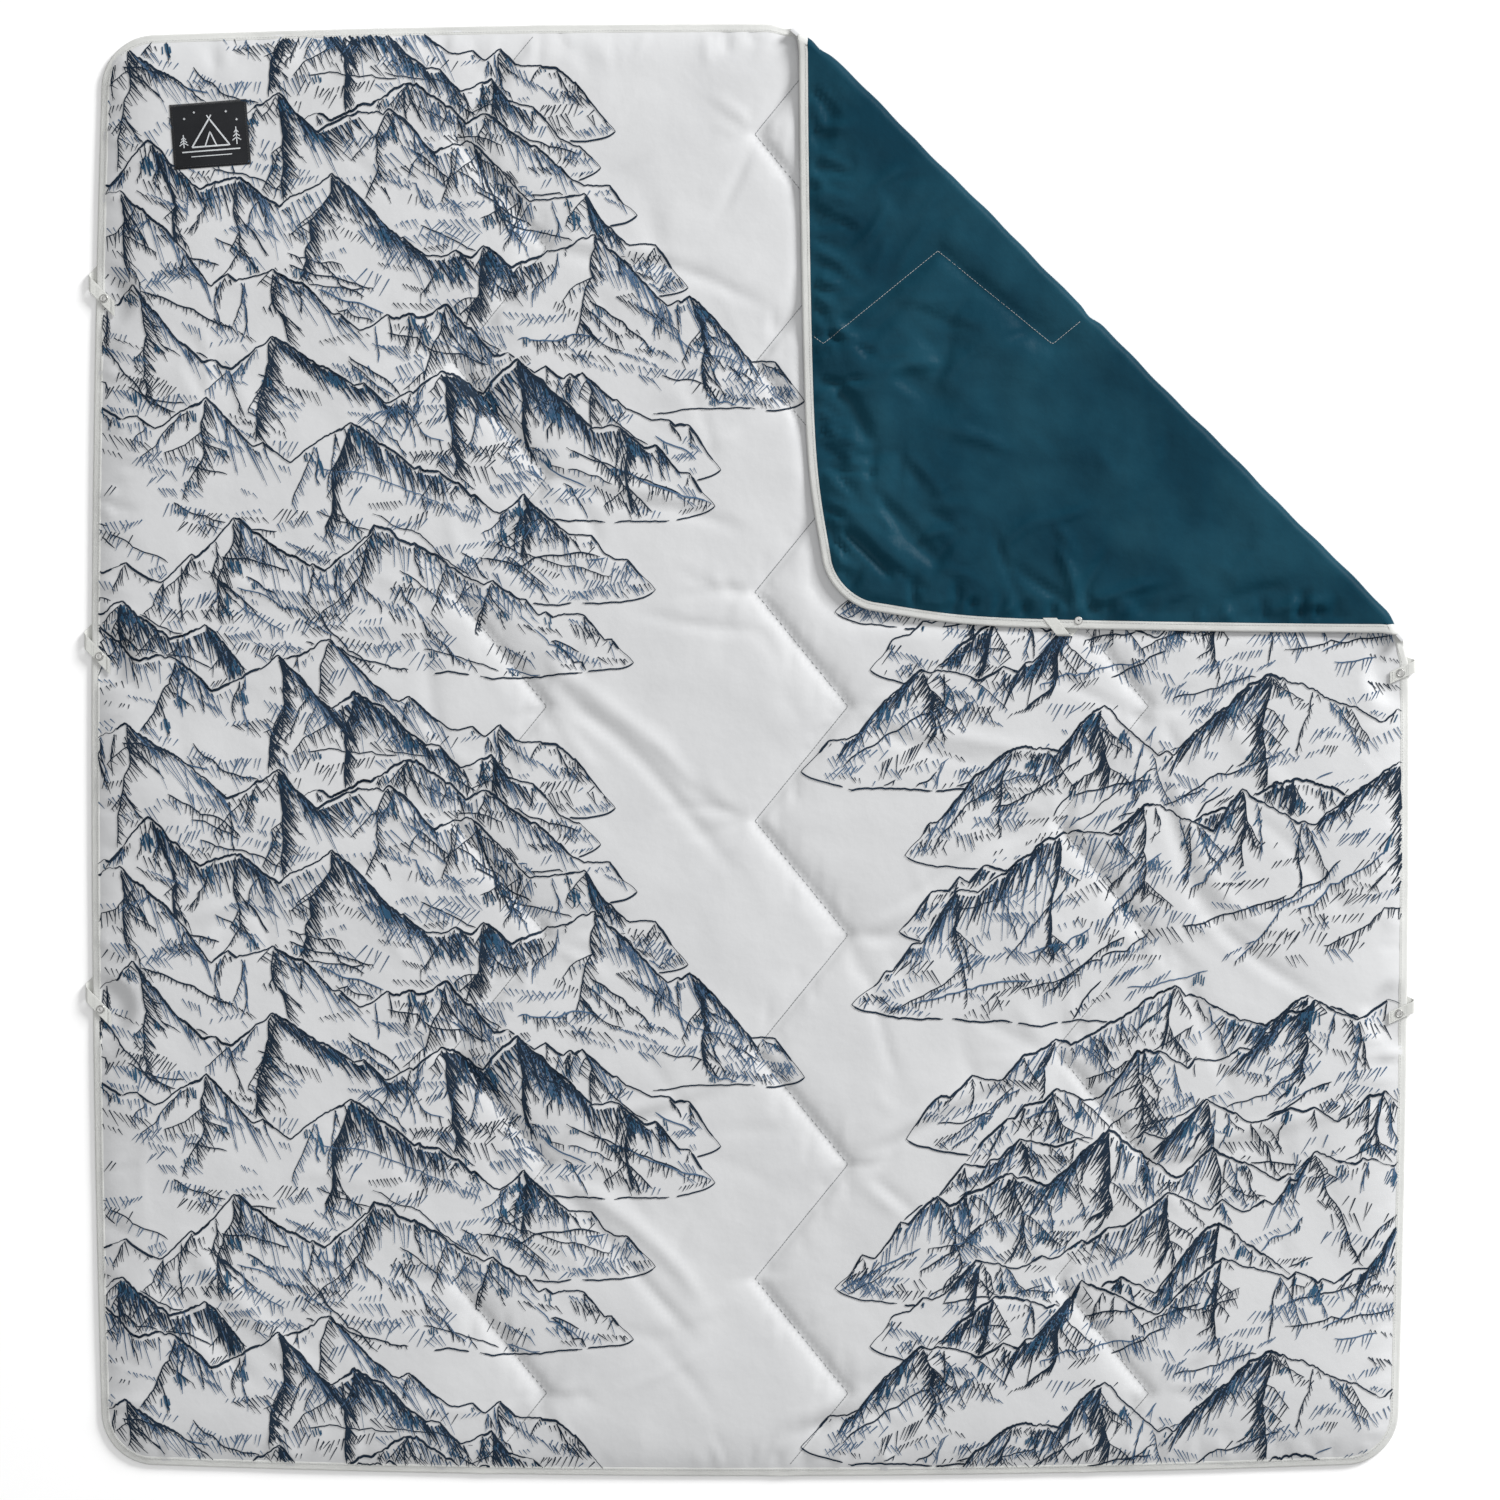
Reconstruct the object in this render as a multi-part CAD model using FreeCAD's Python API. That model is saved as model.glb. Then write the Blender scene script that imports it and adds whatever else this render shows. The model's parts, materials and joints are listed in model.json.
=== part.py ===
"""Quilted two-person camp blanket, lying face up with its upper right corner folded over.

Frame: millimetres, +Z up, +Y towards the label end, origin at the middle of the underside.
The blanket is built flat, then the corner beyond the fold is turned 180 degrees about the
fold line, which is also the axis of the corner_fold hinge.
"""
import FreeCAD
import Part
import math
import os

V = FreeCAD.Vector

# ---- driving dimensions, in mm -------------------------------------------------------------
HALF_WIDTH = 908.0        # middle of the side edges
HALF_LENGTH = 1001.0      # middle of the end edges
SIDE_BOW = 16.0           # how far the side edges bow out between the corners
END_BOW = 18.0            # the same for the end edges
CORNER_RADIUS = 74.0

LOFT = 14.0               # thickness of the quilt away from its edges
SKIN = 0.5                # each fabric skin with the batting that clings to it
FLANGE_BOTTOM = 1.7       # the flattened quilt inside the binding
FLANGE_TOP = 4.7
FLANGE_INSET = 28.0       # how far in the flattened margin reaches
SLOPE_INSET = 64.0        # where the quilt reaches its full loft
BODY_INSET = 3.0          # the skins stop this far inside the folded tape

BINDING_WIDTH = 12.0
BINDING_TAPE = 0.4
THREAD = 0.6

FOLD_SUM = 1068.0         # the folded edge is the line x + y = FOLD_SUM
CLEAR = 0.15              # half the gap between the main panel and the folded corner

SEAM_X = (-344.0, 71.0, 484.5)
SEAM_SWING = 64.0         # half the sideways swing of a zigzag seam
SEAM_PITCH = 315.2        # one full zigzag along the blanket
SEAM_RIGHT_Y = 60.0       # a right-hand turn of every seam lies at this y
GROOVE_HALF_TOP = 20.0
GROOVE_HALF_BOTTOM = 1.0
GROOVE_BOTTOM = 8.0

LABEL_SIZE = (106.0, 90.0, 0.8)
LABEL_CENTRE = (-742.0, 846.0)
LABEL_TURN = 4.5          # degrees

TAB_WIDTH = 15.0
TAB_THICK = 1.0
TAB_LOW_Z = 0.7           # mid-thickness of the leg under the binding
TAB_HIGH_Z = 7.9          # mid-thickness of the leg over the binding
TAB_REACH = 9.5           # how far the loop's mid-thickness stands past the edge
TAB_ROOT_INSET = 15.0
TAB_TIP_INSET = 26.0
SNAP_INSET = 11.5         # snap centre, in from the edge

POST_RADIUS = 1.4
POST_CAP = (5.5, 0.1, 1.25)          # radius, lowest z, highest z
STUD = (4.0, 5.1, 6.5)
SOCKET = (5.3, 5.6, 7.4)
SOCKET_BORE = (4.4, 6.9)             # inner radius, top of the recess
CAP = (5.8, 8.55, 9.95)

# snap: name, side (-1 left, 1 right), y of the snap, how steeply the tab climbs along the edge
TABS = (
    ("left_upper", -1, 622.0, 1.0),
    ("left_middle", -1, 129.0, 1.0),
    ("left_lower", -1, -357.0, 1.0),
    ("right_middle", 1, 106.0, 0.45),
    ("right_lower", 1, -363.0, 0.45),
)
CORNER_TAB = ("corner", 1, 617.0, 0.8)

FOLD_Z = LOFT + CLEAR
FOLD_POINT = V(FOLD_SUM / 2, FOLD_SUM / 2, FOLD_Z)
FOLD_AXIS = V(-1, 1, 0)
ROOT_TWO = math.sqrt(2.0)
PARTS = {}


# ---- outline -------------------------------------------------------------------------------
def bow_radius(half_chord, bow):
    return (half_chord ** 2 + bow ** 2) / (2 * bow)


SIDE_RADIUS = bow_radius(HALF_LENGTH - END_BOW, SIDE_BOW)
END_RADIUS = bow_radius(HALF_WIDTH - SIDE_BOW, END_BOW)
SIDE_CENTRE = V(HALF_WIDTH - SIDE_RADIUS, 0, 0)
END_CENTRE = V(0, HALF_LENGTH - END_RADIUS, 0)


def corner_centre():
    """Centre of the corner arc that is tangent to the side edge and to the end edge."""
    to_side = SIDE_RADIUS - CORNER_RADIUS
    to_end = END_RADIUS - CORNER_RADIUS
    between = END_CENTRE - SIDE_CENTRE
    along = (to_side ** 2 - to_end ** 2 + between.Length ** 2) / (2 * between.Length)
    across = math.sqrt(to_side ** 2 - along ** 2)
    unit = V(between).normalize()
    return SIDE_CENTRE + unit * along + V(-unit.y, unit.x, 0) * across


CORNER_CENTRE = corner_centre()


def inset(distance, z):
    """The bowed rectangle with rounded corners, moved in by a distance, at a height."""
    from_side = (CORNER_CENTRE - SIDE_CENTRE).normalize()
    from_end = (CORNER_CENTRE - END_CENTRE).normalize()
    side_end = SIDE_CENTRE + from_side * (SIDE_RADIUS - distance)
    end_end = END_CENTRE + from_end * (END_RADIUS - distance)
    outward = (from_side + from_end).normalize()
    tip = CORNER_CENTRE + outward * (CORNER_RADIUS - distance)

    def at(point, sx, sy):
        return V(point.x * sx, point.y * sy, z)

    side_middle = V(HALF_WIDTH - distance, 0, 0)
    end_middle = V(0, HALF_LENGTH - distance, 0)
    arcs = [
        (at(side_end, 1, -1), at(side_middle, 1, 1), at(side_end, 1, 1)),
        (at(side_end, 1, 1), at(tip, 1, 1), at(end_end, 1, 1)),
        (at(end_end, 1, 1), at(end_middle, 1, 1), at(end_end, -1, 1)),
        (at(end_end, -1, 1), at(tip, -1, 1), at(side_end, -1, 1)),
        (at(side_end, -1, 1), at(side_middle, -1, 1), at(side_end, -1, -1)),
        (at(side_end, -1, -1), at(tip, -1, -1), at(end_end, -1, -1)),
        (at(end_end, -1, -1), at(end_middle, 1, -1), at(end_end, 1, -1)),
        (at(end_end, 1, -1), at(tip, 1, -1), at(side_end, 1, -1)),
    ]
    return Part.Wire([Part.Arc(*points).toShape() for points in arcs])


def plate(distance, low, high):
    """A flat plate inside the outline."""
    return Part.Face(inset(distance, low)).extrude(V(0, 0, high - low))


def quilt_body(skin):
    """The quilt inside its tape: a flat margin, then slopes up and down to the full loft."""
    low, high = FLANGE_BOTTOM + skin, FLANGE_TOP - skin
    margin = plate(BODY_INSET, low, high)
    below = Part.makeLoft([inset(SLOPE_INSET, skin), inset(FLANGE_INSET, low)], True, True)
    above = Part.makeLoft([inset(FLANGE_INSET, high), inset(SLOPE_INSET, LOFT - skin)], True, True)
    return margin.fuse([below, above]).removeSplitter()


def edge_x(y):
    """Half the blanket's width at a y."""
    return HALF_WIDTH - SIDE_BOW * (y / (HALF_LENGTH - END_BOW)) ** 2


# ---- the fold ------------------------------------------------------------------------------
def half_space(offset, side):
    """A big block on one side of the line that lies offset mm outside the folded edge."""
    size = 6000.0
    block = Part.makeBox(size, size, 400, V(0 if side > 0 else -size, -size / 2, -100))
    block.rotate(V(0, 0, 0), V(0, 0, 1), 45)
    shift = FOLD_SUM / 2 + offset / ROOT_TWO
    block.translate(V(shift, shift, 0))
    return block


MAIN_SIDE = half_space(-LOFT, -1)
CORNER_SIDE = half_space(LOFT, 1)


def fold_over(shape):
    """Turn a flat corner piece onto the face of the blanket."""
    folded = shape.copy()
    folded.rotate(FOLD_POINT, FOLD_AXIS, 180)
    return folded


def keep(name, shape):
    """Register a node; a group of separate solids is allowed."""
    solids = shape.Solids
    PARTS[name] = solids[0] if len(solids) == 1 else Part.makeCompound(solids)


def split(main_name, corner_name, shape):
    """Cut a flat piece at the fold and keep both parts."""
    keep(main_name, shape.common(MAIN_SIDE))
    keep(corner_name, fold_over(shape.common(CORNER_SIDE)))


# ---- quilting ------------------------------------------------------------------------------
def seam_points(x_centre, reach=1060.0):
    """The turning points of one zigzag seam, from the foot end to the label end."""
    half = SEAM_PITCH / 2
    first = math.floor((-reach - SEAM_RIGHT_Y) / half)
    last = math.ceil((reach - SEAM_RIGHT_Y) / half)
    points = []
    for i in range(first, last + 1):
        swing = SEAM_SWING if i % 2 == 0 else -SEAM_SWING
        points.append((x_centre + swing, SEAM_RIGHT_Y + i * half))
    return points


def along_seam(points, half_low, half_high, low, high):
    """One prism for each leg of a seam, with a section that is level across the blanket."""
    legs = []
    for (x0, y0), (x1, y1) in zip(points, points[1:]):
        ring = [V(x0 - half_low, y0, low), V(x0 + half_low, y0, low),
                V(x0 + half_high, y0, high), V(x0 - half_high, y0, high)]
        section = Part.Face(Part.makePolygon(ring + [ring[0]]))
        legs.append(section.extrude(V(x1 - x0, y1 - y0, 0)))
    return legs


def groove(points, drop):
    """The valley that a seam pulls into the face, as one prism for each leg."""
    run = GROOVE_HALF_TOP - GROOVE_HALF_BOTTOM
    high = LOFT + 2.0
    half_high = GROOVE_HALF_BOTTOM + run * (high - GROOVE_BOTTOM) / (LOFT - GROOVE_BOTTOM)
    return along_seam(points, GROOVE_HALF_BOTTOM, half_high, GROOVE_BOTTOM - drop, high - drop)


def seam_thread(points, z):
    return along_seam(points, THREAD / 2, THREAD / 2, z, z + THREAD)


# ---- snaps and tabs ------------------------------------------------------------------------
def disc(radius, low, high):
    return Part.makeCylinder(radius, high - low, V(SNAP_INSET, 0, low))


def tab_path():
    """Mid-thickness points of a snap tab as (inset, z, normal inset, normal z, run)."""
    radius = (TAB_HIGH_Z - TAB_LOW_Z) / 2
    centre_in = radius - TAB_REACH
    centre_z = (TAB_HIGH_Z + TAB_LOW_Z) / 2
    steps = 8
    low_leg = TAB_ROOT_INSET - centre_in
    high_leg = TAB_TIP_INSET - centre_in
    quarter = radius * math.pi / 2
    root = [(TAB_ROOT_INSET, TAB_LOW_Z, 0.0, -1.0, -quarter - low_leg)]
    strap = []
    for i in range(steps + 1):
        turn = math.pi / 2 * i / steps
        s, c = math.sin(turn), math.cos(turn)
        root.append((centre_in - radius * s, centre_z - radius * c, -s, -c, -quarter * (1 - i / steps)))
        strap.append((centre_in - radius * c, centre_z + radius * s, -c, s, quarter * i / steps))
    strap.append((TAB_TIP_INSET, TAB_HIGH_Z, 0.0, 1.0, quarter + high_leg))
    return root, strap


def tab_solid(points, climb, snap_run, lift):
    """A slanting tape of even thickness; it climbs along the edge away from the snap."""
    half = TAB_WIDTH / 2 * math.sqrt(1 + climb * climb)
    sections = []
    for u, z, nu, nz, run in points:
        middle = (snap_run - run) * climb
        half_t = TAB_THICK / 2
        ring = [
            V(u + nu * half_t, middle - half, z + nz * half_t + lift),
            V(u + nu * half_t, middle + half, z + nz * half_t + lift),
            V(u - nu * half_t, middle + half, z - nz * half_t + lift),
            V(u - nu * half_t, middle - half, z - nz * half_t + lift),
        ]
        sections.append(Part.makePolygon(ring + [ring[0]]))
    return Part.makeLoft(sections, True, True)


def place(shape, side, y):
    """Move a piece from the edge's own frame (x = distance in from the edge) to the blanket."""
    placed = shape.copy()
    if side > 0:
        placed = placed.mirror(V(0, 0, 0), V(1, 0, 0))
    placed.translate(V(side * edge_x(y), y, 0))
    return placed


def snap_pieces(side, y, climb):
    """All pieces of one snap tab, closed, in the blanket's frame."""
    root_path, strap_path = tab_path()
    apex_gap = 0.15
    snap_run = strap_path[-1][4] - (TAB_TIP_INSET - SNAP_INSET)
    post_hole = Part.makeCylinder(POST_RADIUS - 0.1, 20, V(SNAP_INSET, 0, 0))
    root = tab_solid(root_path, climb, snap_run, -apex_gap)
    strap = tab_solid(strap_path, climb, snap_run, apex_gap)
    strap = strap.cut(post_hole)
    post = Part.makeCylinder(POST_RADIUS, STUD[1] - POST_CAP[2], V(SNAP_INSET, 0, POST_CAP[2]))
    rivet = Part.makeCylinder(POST_RADIUS - 0.1, CAP[1] - SOCKET[2], V(SNAP_INSET, 0, SOCKET[2]))
    cap = disc(*CAP)
    rim = [e for e in cap.Edges if abs(e.CenterOfMass.z - CAP[2]) < 0.01 and e.Length > 1]
    cap = cap.makeFillet(0.8, rim).fuse(rivet).removeSplitter()
    stud = disc(*STUD).fuse(post).removeSplitter()
    pieces = {
        "tab_root": root,
        "tab_strap": strap,
        "snap_cap": cap,
        "snap_socket": disc(*SOCKET).cut(disc(SOCKET_BORE[0], SOCKET[1] - 1, SOCKET_BORE[1])),
        "snap_stud": stud,
        "snap_post_cap": disc(*POST_CAP),
    }
    return {name: place(shape, side, y) for name, shape in pieces.items()}


# ---- the quilt -----------------------------------------------------------------------------
def build_quilt():
    whole = quilt_body(0.0)
    core = quilt_body(SKIN)
    posts = [place(Part.makeCylinder(POST_RADIUS, 20, V(SNAP_INSET, 0, -5)), side, y)
             for _, side, y, _ in TABS + (CORNER_TAB,)]
    posts = Part.makeCompound(posts)
    seams = [seam_points(x) for x in SEAM_X]
    whole = whole.cut(posts)
    core = core.cut(posts)
    grooved = whole.cut([leg for points in seams for leg in groove(points, 0.0)])
    grooved_core = core.cut([leg for points in seams for leg in groove(points, SKIN)])
    middle = (FLANGE_BOTTOM + FLANGE_TOP) / 2
    upper = Part.makeBox(3000, 3000, 100, V(-1500, -1500, middle))
    lower = Part.makeBox(3000, 3000, 100, V(-1500, -1500, middle - 100))
    skins = grooved.cut(grooved_core)
    split("face_shell", "corner_face_shell", skins.common(upper))
    split("back_shell", "corner_back_shell", skins.common(lower))
    split("insulation", "corner_insulation", grooved_core)

    tape = plate(0, FLANGE_BOTTOM - BINDING_TAPE, FLANGE_TOP + BINDING_TAPE)
    tape = tape.cut(plate(BINDING_WIDTH, 0, 20)).cut(plate(BODY_INSET, FLANGE_BOTTOM, FLANGE_TOP))
    split("edge_binding", "corner_binding", tape.cut(posts))

    row = plate(BINDING_WIDTH - 2.5, FLANGE_TOP + BINDING_TAPE, FLANGE_TOP + BINDING_TAPE + THREAD / 2)
    row = row.cut(plate(BINDING_WIDTH - 2.5 + THREAD, 0, 20))
    studs = [place(disc(STUD[0] + 0.5, 0, 20), side, y) for _, side, y, _ in TABS + (CORNER_TAB,)]
    split("binding_stitching", "corner_binding_stitching", row.cut(Part.makeCompound(studs)))

    inside = plate(FLANGE_INSET + 20, -5, 30)
    threads = []
    for points in seams:
        legs = seam_thread(points, GROOVE_BOTTOM)
        threads.append(legs[0].fuse(legs[1:]).removeSplitter().common(inside))
    split("quilt_stitching", "corner_quilt_stitching", Part.makeCompound(threads))


def build_fold():
    """The roll of quilt along the folded edge, with its tape at both ends."""
    length = 4000.0
    base = FOLD_POINT - V(LOFT / ROOT_TWO, LOFT / ROOT_TWO, 0)
    direction = V(-1, 1, 0)
    direction.normalize()
    start = base - direction * (length / 2)
    radius = LOFT + CLEAR
    outside = half_space(-LOFT, 1)

    def roll(r):
        return Part.makeCylinder(r, length, start, direction).common(outside)

    skinned = roll(radius)
    filling = roll(radius - SKIN)
    inner = plate(BINDING_WIDTH, -50, 60)
    band = plate(0, -50, 60).cut(inner)
    keep("fold_back_shell", skinned.cut(filling).common(inner))
    keep("fold_insulation", filling.common(inner))
    lying = FLANGE_BOTTOM - BINDING_TAPE
    tape = roll(radius - lying).cut(roll(radius - lying - (FLANGE_TOP - FLANGE_BOTTOM)))
    keep("fold_binding", tape.common(band))


def build_label():
    width, height, thick = LABEL_SIZE
    x, y = LABEL_CENTRE

    def patch(border, low, high):
        box = Part.makeBox(width - 2 * border, height - 2 * border, high - low,
                           V(border - width / 2, border - height / 2, low))
        box.rotate(V(0, 0, 0), V(0, 0, 1), LABEL_TURN)
        box.translate(V(x, y, 0))
        return box

    top = LOFT + thick
    keep("label_patch", patch(0, LOFT, top))
    keep("label_stitching", patch(2.0, top, top + THREAD / 2).cut(patch(2.0 + THREAD, top, top + 1)))


def build_snaps():
    for name, side, y, climb in TABS:
        for piece, shape in snap_pieces(side, y, climb).items():
            keep(piece + "_" + name, shape)
    _, side, y, climb = CORNER_TAB
    pieces = snap_pieces(side, y, climb)
    loop = pieces.pop("tab_root").fuse(pieces.pop("tab_strap"))
    joint = place(Part.makeBox(TAB_THICK, 8, 0.6, V(-TAB_REACH - TAB_THICK / 2, 0, 4.0)), side, y)
    span = loop.BoundBox
    shift = (span.YMin + span.YMax) / 2 - y - 4
    joint.translate(V(0, shift, 0))
    keep("corner_tab", fold_over(loop.fuse(joint)))
    for piece, shape in pieces.items():
        keep("corner_" + piece, fold_over(shape))


def main():
    build_quilt()
    build_fold()
    build_label()
    build_snaps()
    os.makedirs("parts", exist_ok=True)
    for name, shape in PARTS.items():
        if not shape.isValid():
            print("not valid:", name)
        shape.exportStep("parts/" + name + ".step")
        box = shape.BoundBox
        print(name, len(shape.Solids), "solids", round(shape.Volume / 1000, 1), "cm3",
              "z", round(box.ZMin, 2), round(box.ZMax, 2))


main()
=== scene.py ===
import json
import math

import bpy
import numpy as np
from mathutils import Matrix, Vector

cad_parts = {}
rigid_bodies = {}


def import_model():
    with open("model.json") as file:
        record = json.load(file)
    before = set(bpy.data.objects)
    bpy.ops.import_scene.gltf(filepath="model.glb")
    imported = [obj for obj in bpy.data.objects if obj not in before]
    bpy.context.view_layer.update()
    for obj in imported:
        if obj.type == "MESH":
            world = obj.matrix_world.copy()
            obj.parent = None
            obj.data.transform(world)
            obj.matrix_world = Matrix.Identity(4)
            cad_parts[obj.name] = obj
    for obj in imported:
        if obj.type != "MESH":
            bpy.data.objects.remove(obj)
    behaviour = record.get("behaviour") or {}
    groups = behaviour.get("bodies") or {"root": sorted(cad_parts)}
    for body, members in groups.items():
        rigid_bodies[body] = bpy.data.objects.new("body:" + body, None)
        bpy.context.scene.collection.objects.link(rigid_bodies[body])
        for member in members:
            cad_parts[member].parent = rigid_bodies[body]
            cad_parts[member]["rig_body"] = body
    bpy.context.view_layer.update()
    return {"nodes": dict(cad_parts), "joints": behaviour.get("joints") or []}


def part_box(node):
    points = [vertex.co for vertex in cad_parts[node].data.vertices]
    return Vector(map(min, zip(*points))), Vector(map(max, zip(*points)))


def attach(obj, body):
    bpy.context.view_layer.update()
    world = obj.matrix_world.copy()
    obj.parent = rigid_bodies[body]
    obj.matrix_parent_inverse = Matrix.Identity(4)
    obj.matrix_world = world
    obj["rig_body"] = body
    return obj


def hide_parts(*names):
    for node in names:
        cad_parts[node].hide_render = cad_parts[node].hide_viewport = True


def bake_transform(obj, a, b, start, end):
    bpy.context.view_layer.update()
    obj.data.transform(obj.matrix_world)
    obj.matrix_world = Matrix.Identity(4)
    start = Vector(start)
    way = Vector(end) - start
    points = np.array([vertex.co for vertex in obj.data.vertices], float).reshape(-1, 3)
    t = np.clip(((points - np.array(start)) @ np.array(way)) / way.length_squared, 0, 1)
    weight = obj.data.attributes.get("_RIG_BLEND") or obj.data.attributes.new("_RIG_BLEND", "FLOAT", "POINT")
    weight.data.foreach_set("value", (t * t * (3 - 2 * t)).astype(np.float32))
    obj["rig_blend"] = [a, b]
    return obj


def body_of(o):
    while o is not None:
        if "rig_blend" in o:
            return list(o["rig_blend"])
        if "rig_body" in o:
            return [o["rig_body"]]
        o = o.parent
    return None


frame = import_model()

MM = 0.001

# ---- the blanket's own sizes, in mm, from the frame -----------------------------------------
TAPE_LOW = np.array(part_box("edge_binding")[0]) / MM
HALF_W = -TAPE_LOW[0]
HALF_L = -TAPE_LOW[1]
SIDE_BOW, END_BOW, CORNER_R = 16.0, 18.0, 74.0
FOLD = next(j for j in frame["joints"] if j["name"] == "corner_fold")
FOLD_SUM = 2 * FOLD["pos_m"][0] / MM            # the folded edge is the line x + y = FOLD_SUM
FOLD_Z = FOLD["pos_m"][2] / MM
ROOT2 = math.sqrt(2)

PITCH = 6.1                                     # spacing of the cloth's vertices
TAPE_W = 12.0
TUCK = 4.0                                      # the cloths end this far inside the tape
EDGE_TOP, EDGE_BOTTOM = 4.9, 1.5                # the quilt inside its tape
LOFT = 19.0                                     # puffed thickness between the seams
COVERED = 13.2                                  # the face under the folded corner
ROLL_R = 13.6                                   # the roll of cloth along the folded edge
FACE_STOP = 8.5                                 # the printed cloth ends this far before the fold line
FOLD_REACH = 900.0                              # nothing folded lies further than this from the fold's middle
FLAP_TOP = 26.8                                 # the teal side in the middle of the folded corner
FLAP_EDGE = 21.5                                # the teal side at the folded corner's edges

SEAM_X = (-344.0, 71.0, 484.5)
FLAP_SEAM_SUM = 1106.0                          # the folded corner's seams sit a little nearer the fold
SEAM_SWING, SEAM_PITCH, SEAM_RIGHT_Y = 64.0, 315.2, 60.0


# ---- small helpers --------------------------------------------------------------------------
def smooth(x):
    x = np.clip(x, 0, 1)
    return x * x * (3 - 2 * x)


def bow_radius(half_chord, bow):
    return (half_chord ** 2 + bow ** 2) / (2 * bow)


SIDE_R = bow_radius(HALF_L - END_BOW, SIDE_BOW)
END_R = bow_radius(HALF_W - SIDE_BOW, END_BOW)
SIDE_C = np.array([HALF_W - SIDE_R, 0.0])
END_C = np.array([0.0, HALF_L - END_R])


def corner_centre():
    to_side, to_end = SIDE_R - CORNER_R, END_R - CORNER_R
    between = END_C - SIDE_C
    gap = np.hypot(*between)
    along = (to_side ** 2 - to_end ** 2 + gap ** 2) / (2 * gap)
    across = math.sqrt(to_side ** 2 - along ** 2)
    unit = between / gap
    return SIDE_C + unit * along + np.array([-unit[1], unit[0]]) * across


CORNER_C = corner_centre()
FROM_SIDE = (CORNER_C - SIDE_C) / np.hypot(*(CORNER_C - SIDE_C))
FROM_END = (CORNER_C - END_C) / np.hypot(*(CORNER_C - END_C))


def edge_distance(x, y):
    """How far a point lies inside the blanket's outline."""
    ax, ay = np.abs(x), np.abs(y)
    side = SIDE_R - np.hypot(ax - SIDE_C[0], ay - SIDE_C[1])
    end = END_R - np.hypot(ax - END_C[0], ay - END_C[1])
    dx, dy = ax - CORNER_C[0], ay - CORNER_C[1]
    beyond_side = FROM_SIDE[0] * dy - FROM_SIDE[1] * dx > 0
    beyond_end = FROM_END[0] * dy - FROM_END[1] * dx < 0
    round_part = beyond_side & beyond_end
    return np.where(round_part, CORNER_R - np.hypot(dx, dy), np.minimum(side, end))


def past_fold(x, y):
    """Signed distance outside the folded edge."""
    return (x + y - FOLD_SUM) / ROOT2


def mirrored(x, y):
    """Where a point of the flat corner lies once folded, and the other way round."""
    return FOLD_SUM - y, FOLD_SUM - x


def flap_distance(x, y):
    return edge_distance(*mirrored(x, y))


def flap_seam(x, y):
    """Where a point of a flat seam lies on the folded corner, and the other way round."""
    return FLAP_SEAM_SUM - y, FLAP_SEAM_SUM - x


def seam_distance(x, y, centre):
    """Distance from one zigzag seam."""
    half = SEAM_PITCH / 2
    phase = ((y - SEAM_RIGHT_Y) / half) % 2.0
    swing = SEAM_SWING * (1 - 2 * np.abs(phase - 2 * (phase > 1) * (phase - 1)))
    slope = 2 * SEAM_SWING / half
    return (x - centre - swing) / math.sqrt(1 + slope ** 2)


def snap_place(name):
    low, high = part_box(f"snap_cap_{name}")
    return (low.y + high.y) / 2 / MM


# Each tab as (side, height along the edge, how steeply it slants).
TABS = {
    "left_upper": (-1, snap_place("left_upper"), 1.0),
    "left_middle": (-1, snap_place("left_middle"), 1.0),
    "left_lower": (-1, snap_place("left_lower"), 1.0),
    "right_middle": (1, snap_place("right_middle"), 0.45),
    "right_lower": (1, snap_place("right_lower"), 0.45),
}


def under_tabs(x, y):
    """1 where a snap tab presses the quilt flat, 0 elsewhere."""
    pressed = np.zeros_like(x)
    for side, place, _ in TABS.values():
        away = np.hypot(x - side * (HALF_W - 16), y - place)
        pressed = np.maximum(pressed, 1 - smooth((away - 26) / 26))
    return pressed


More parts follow.
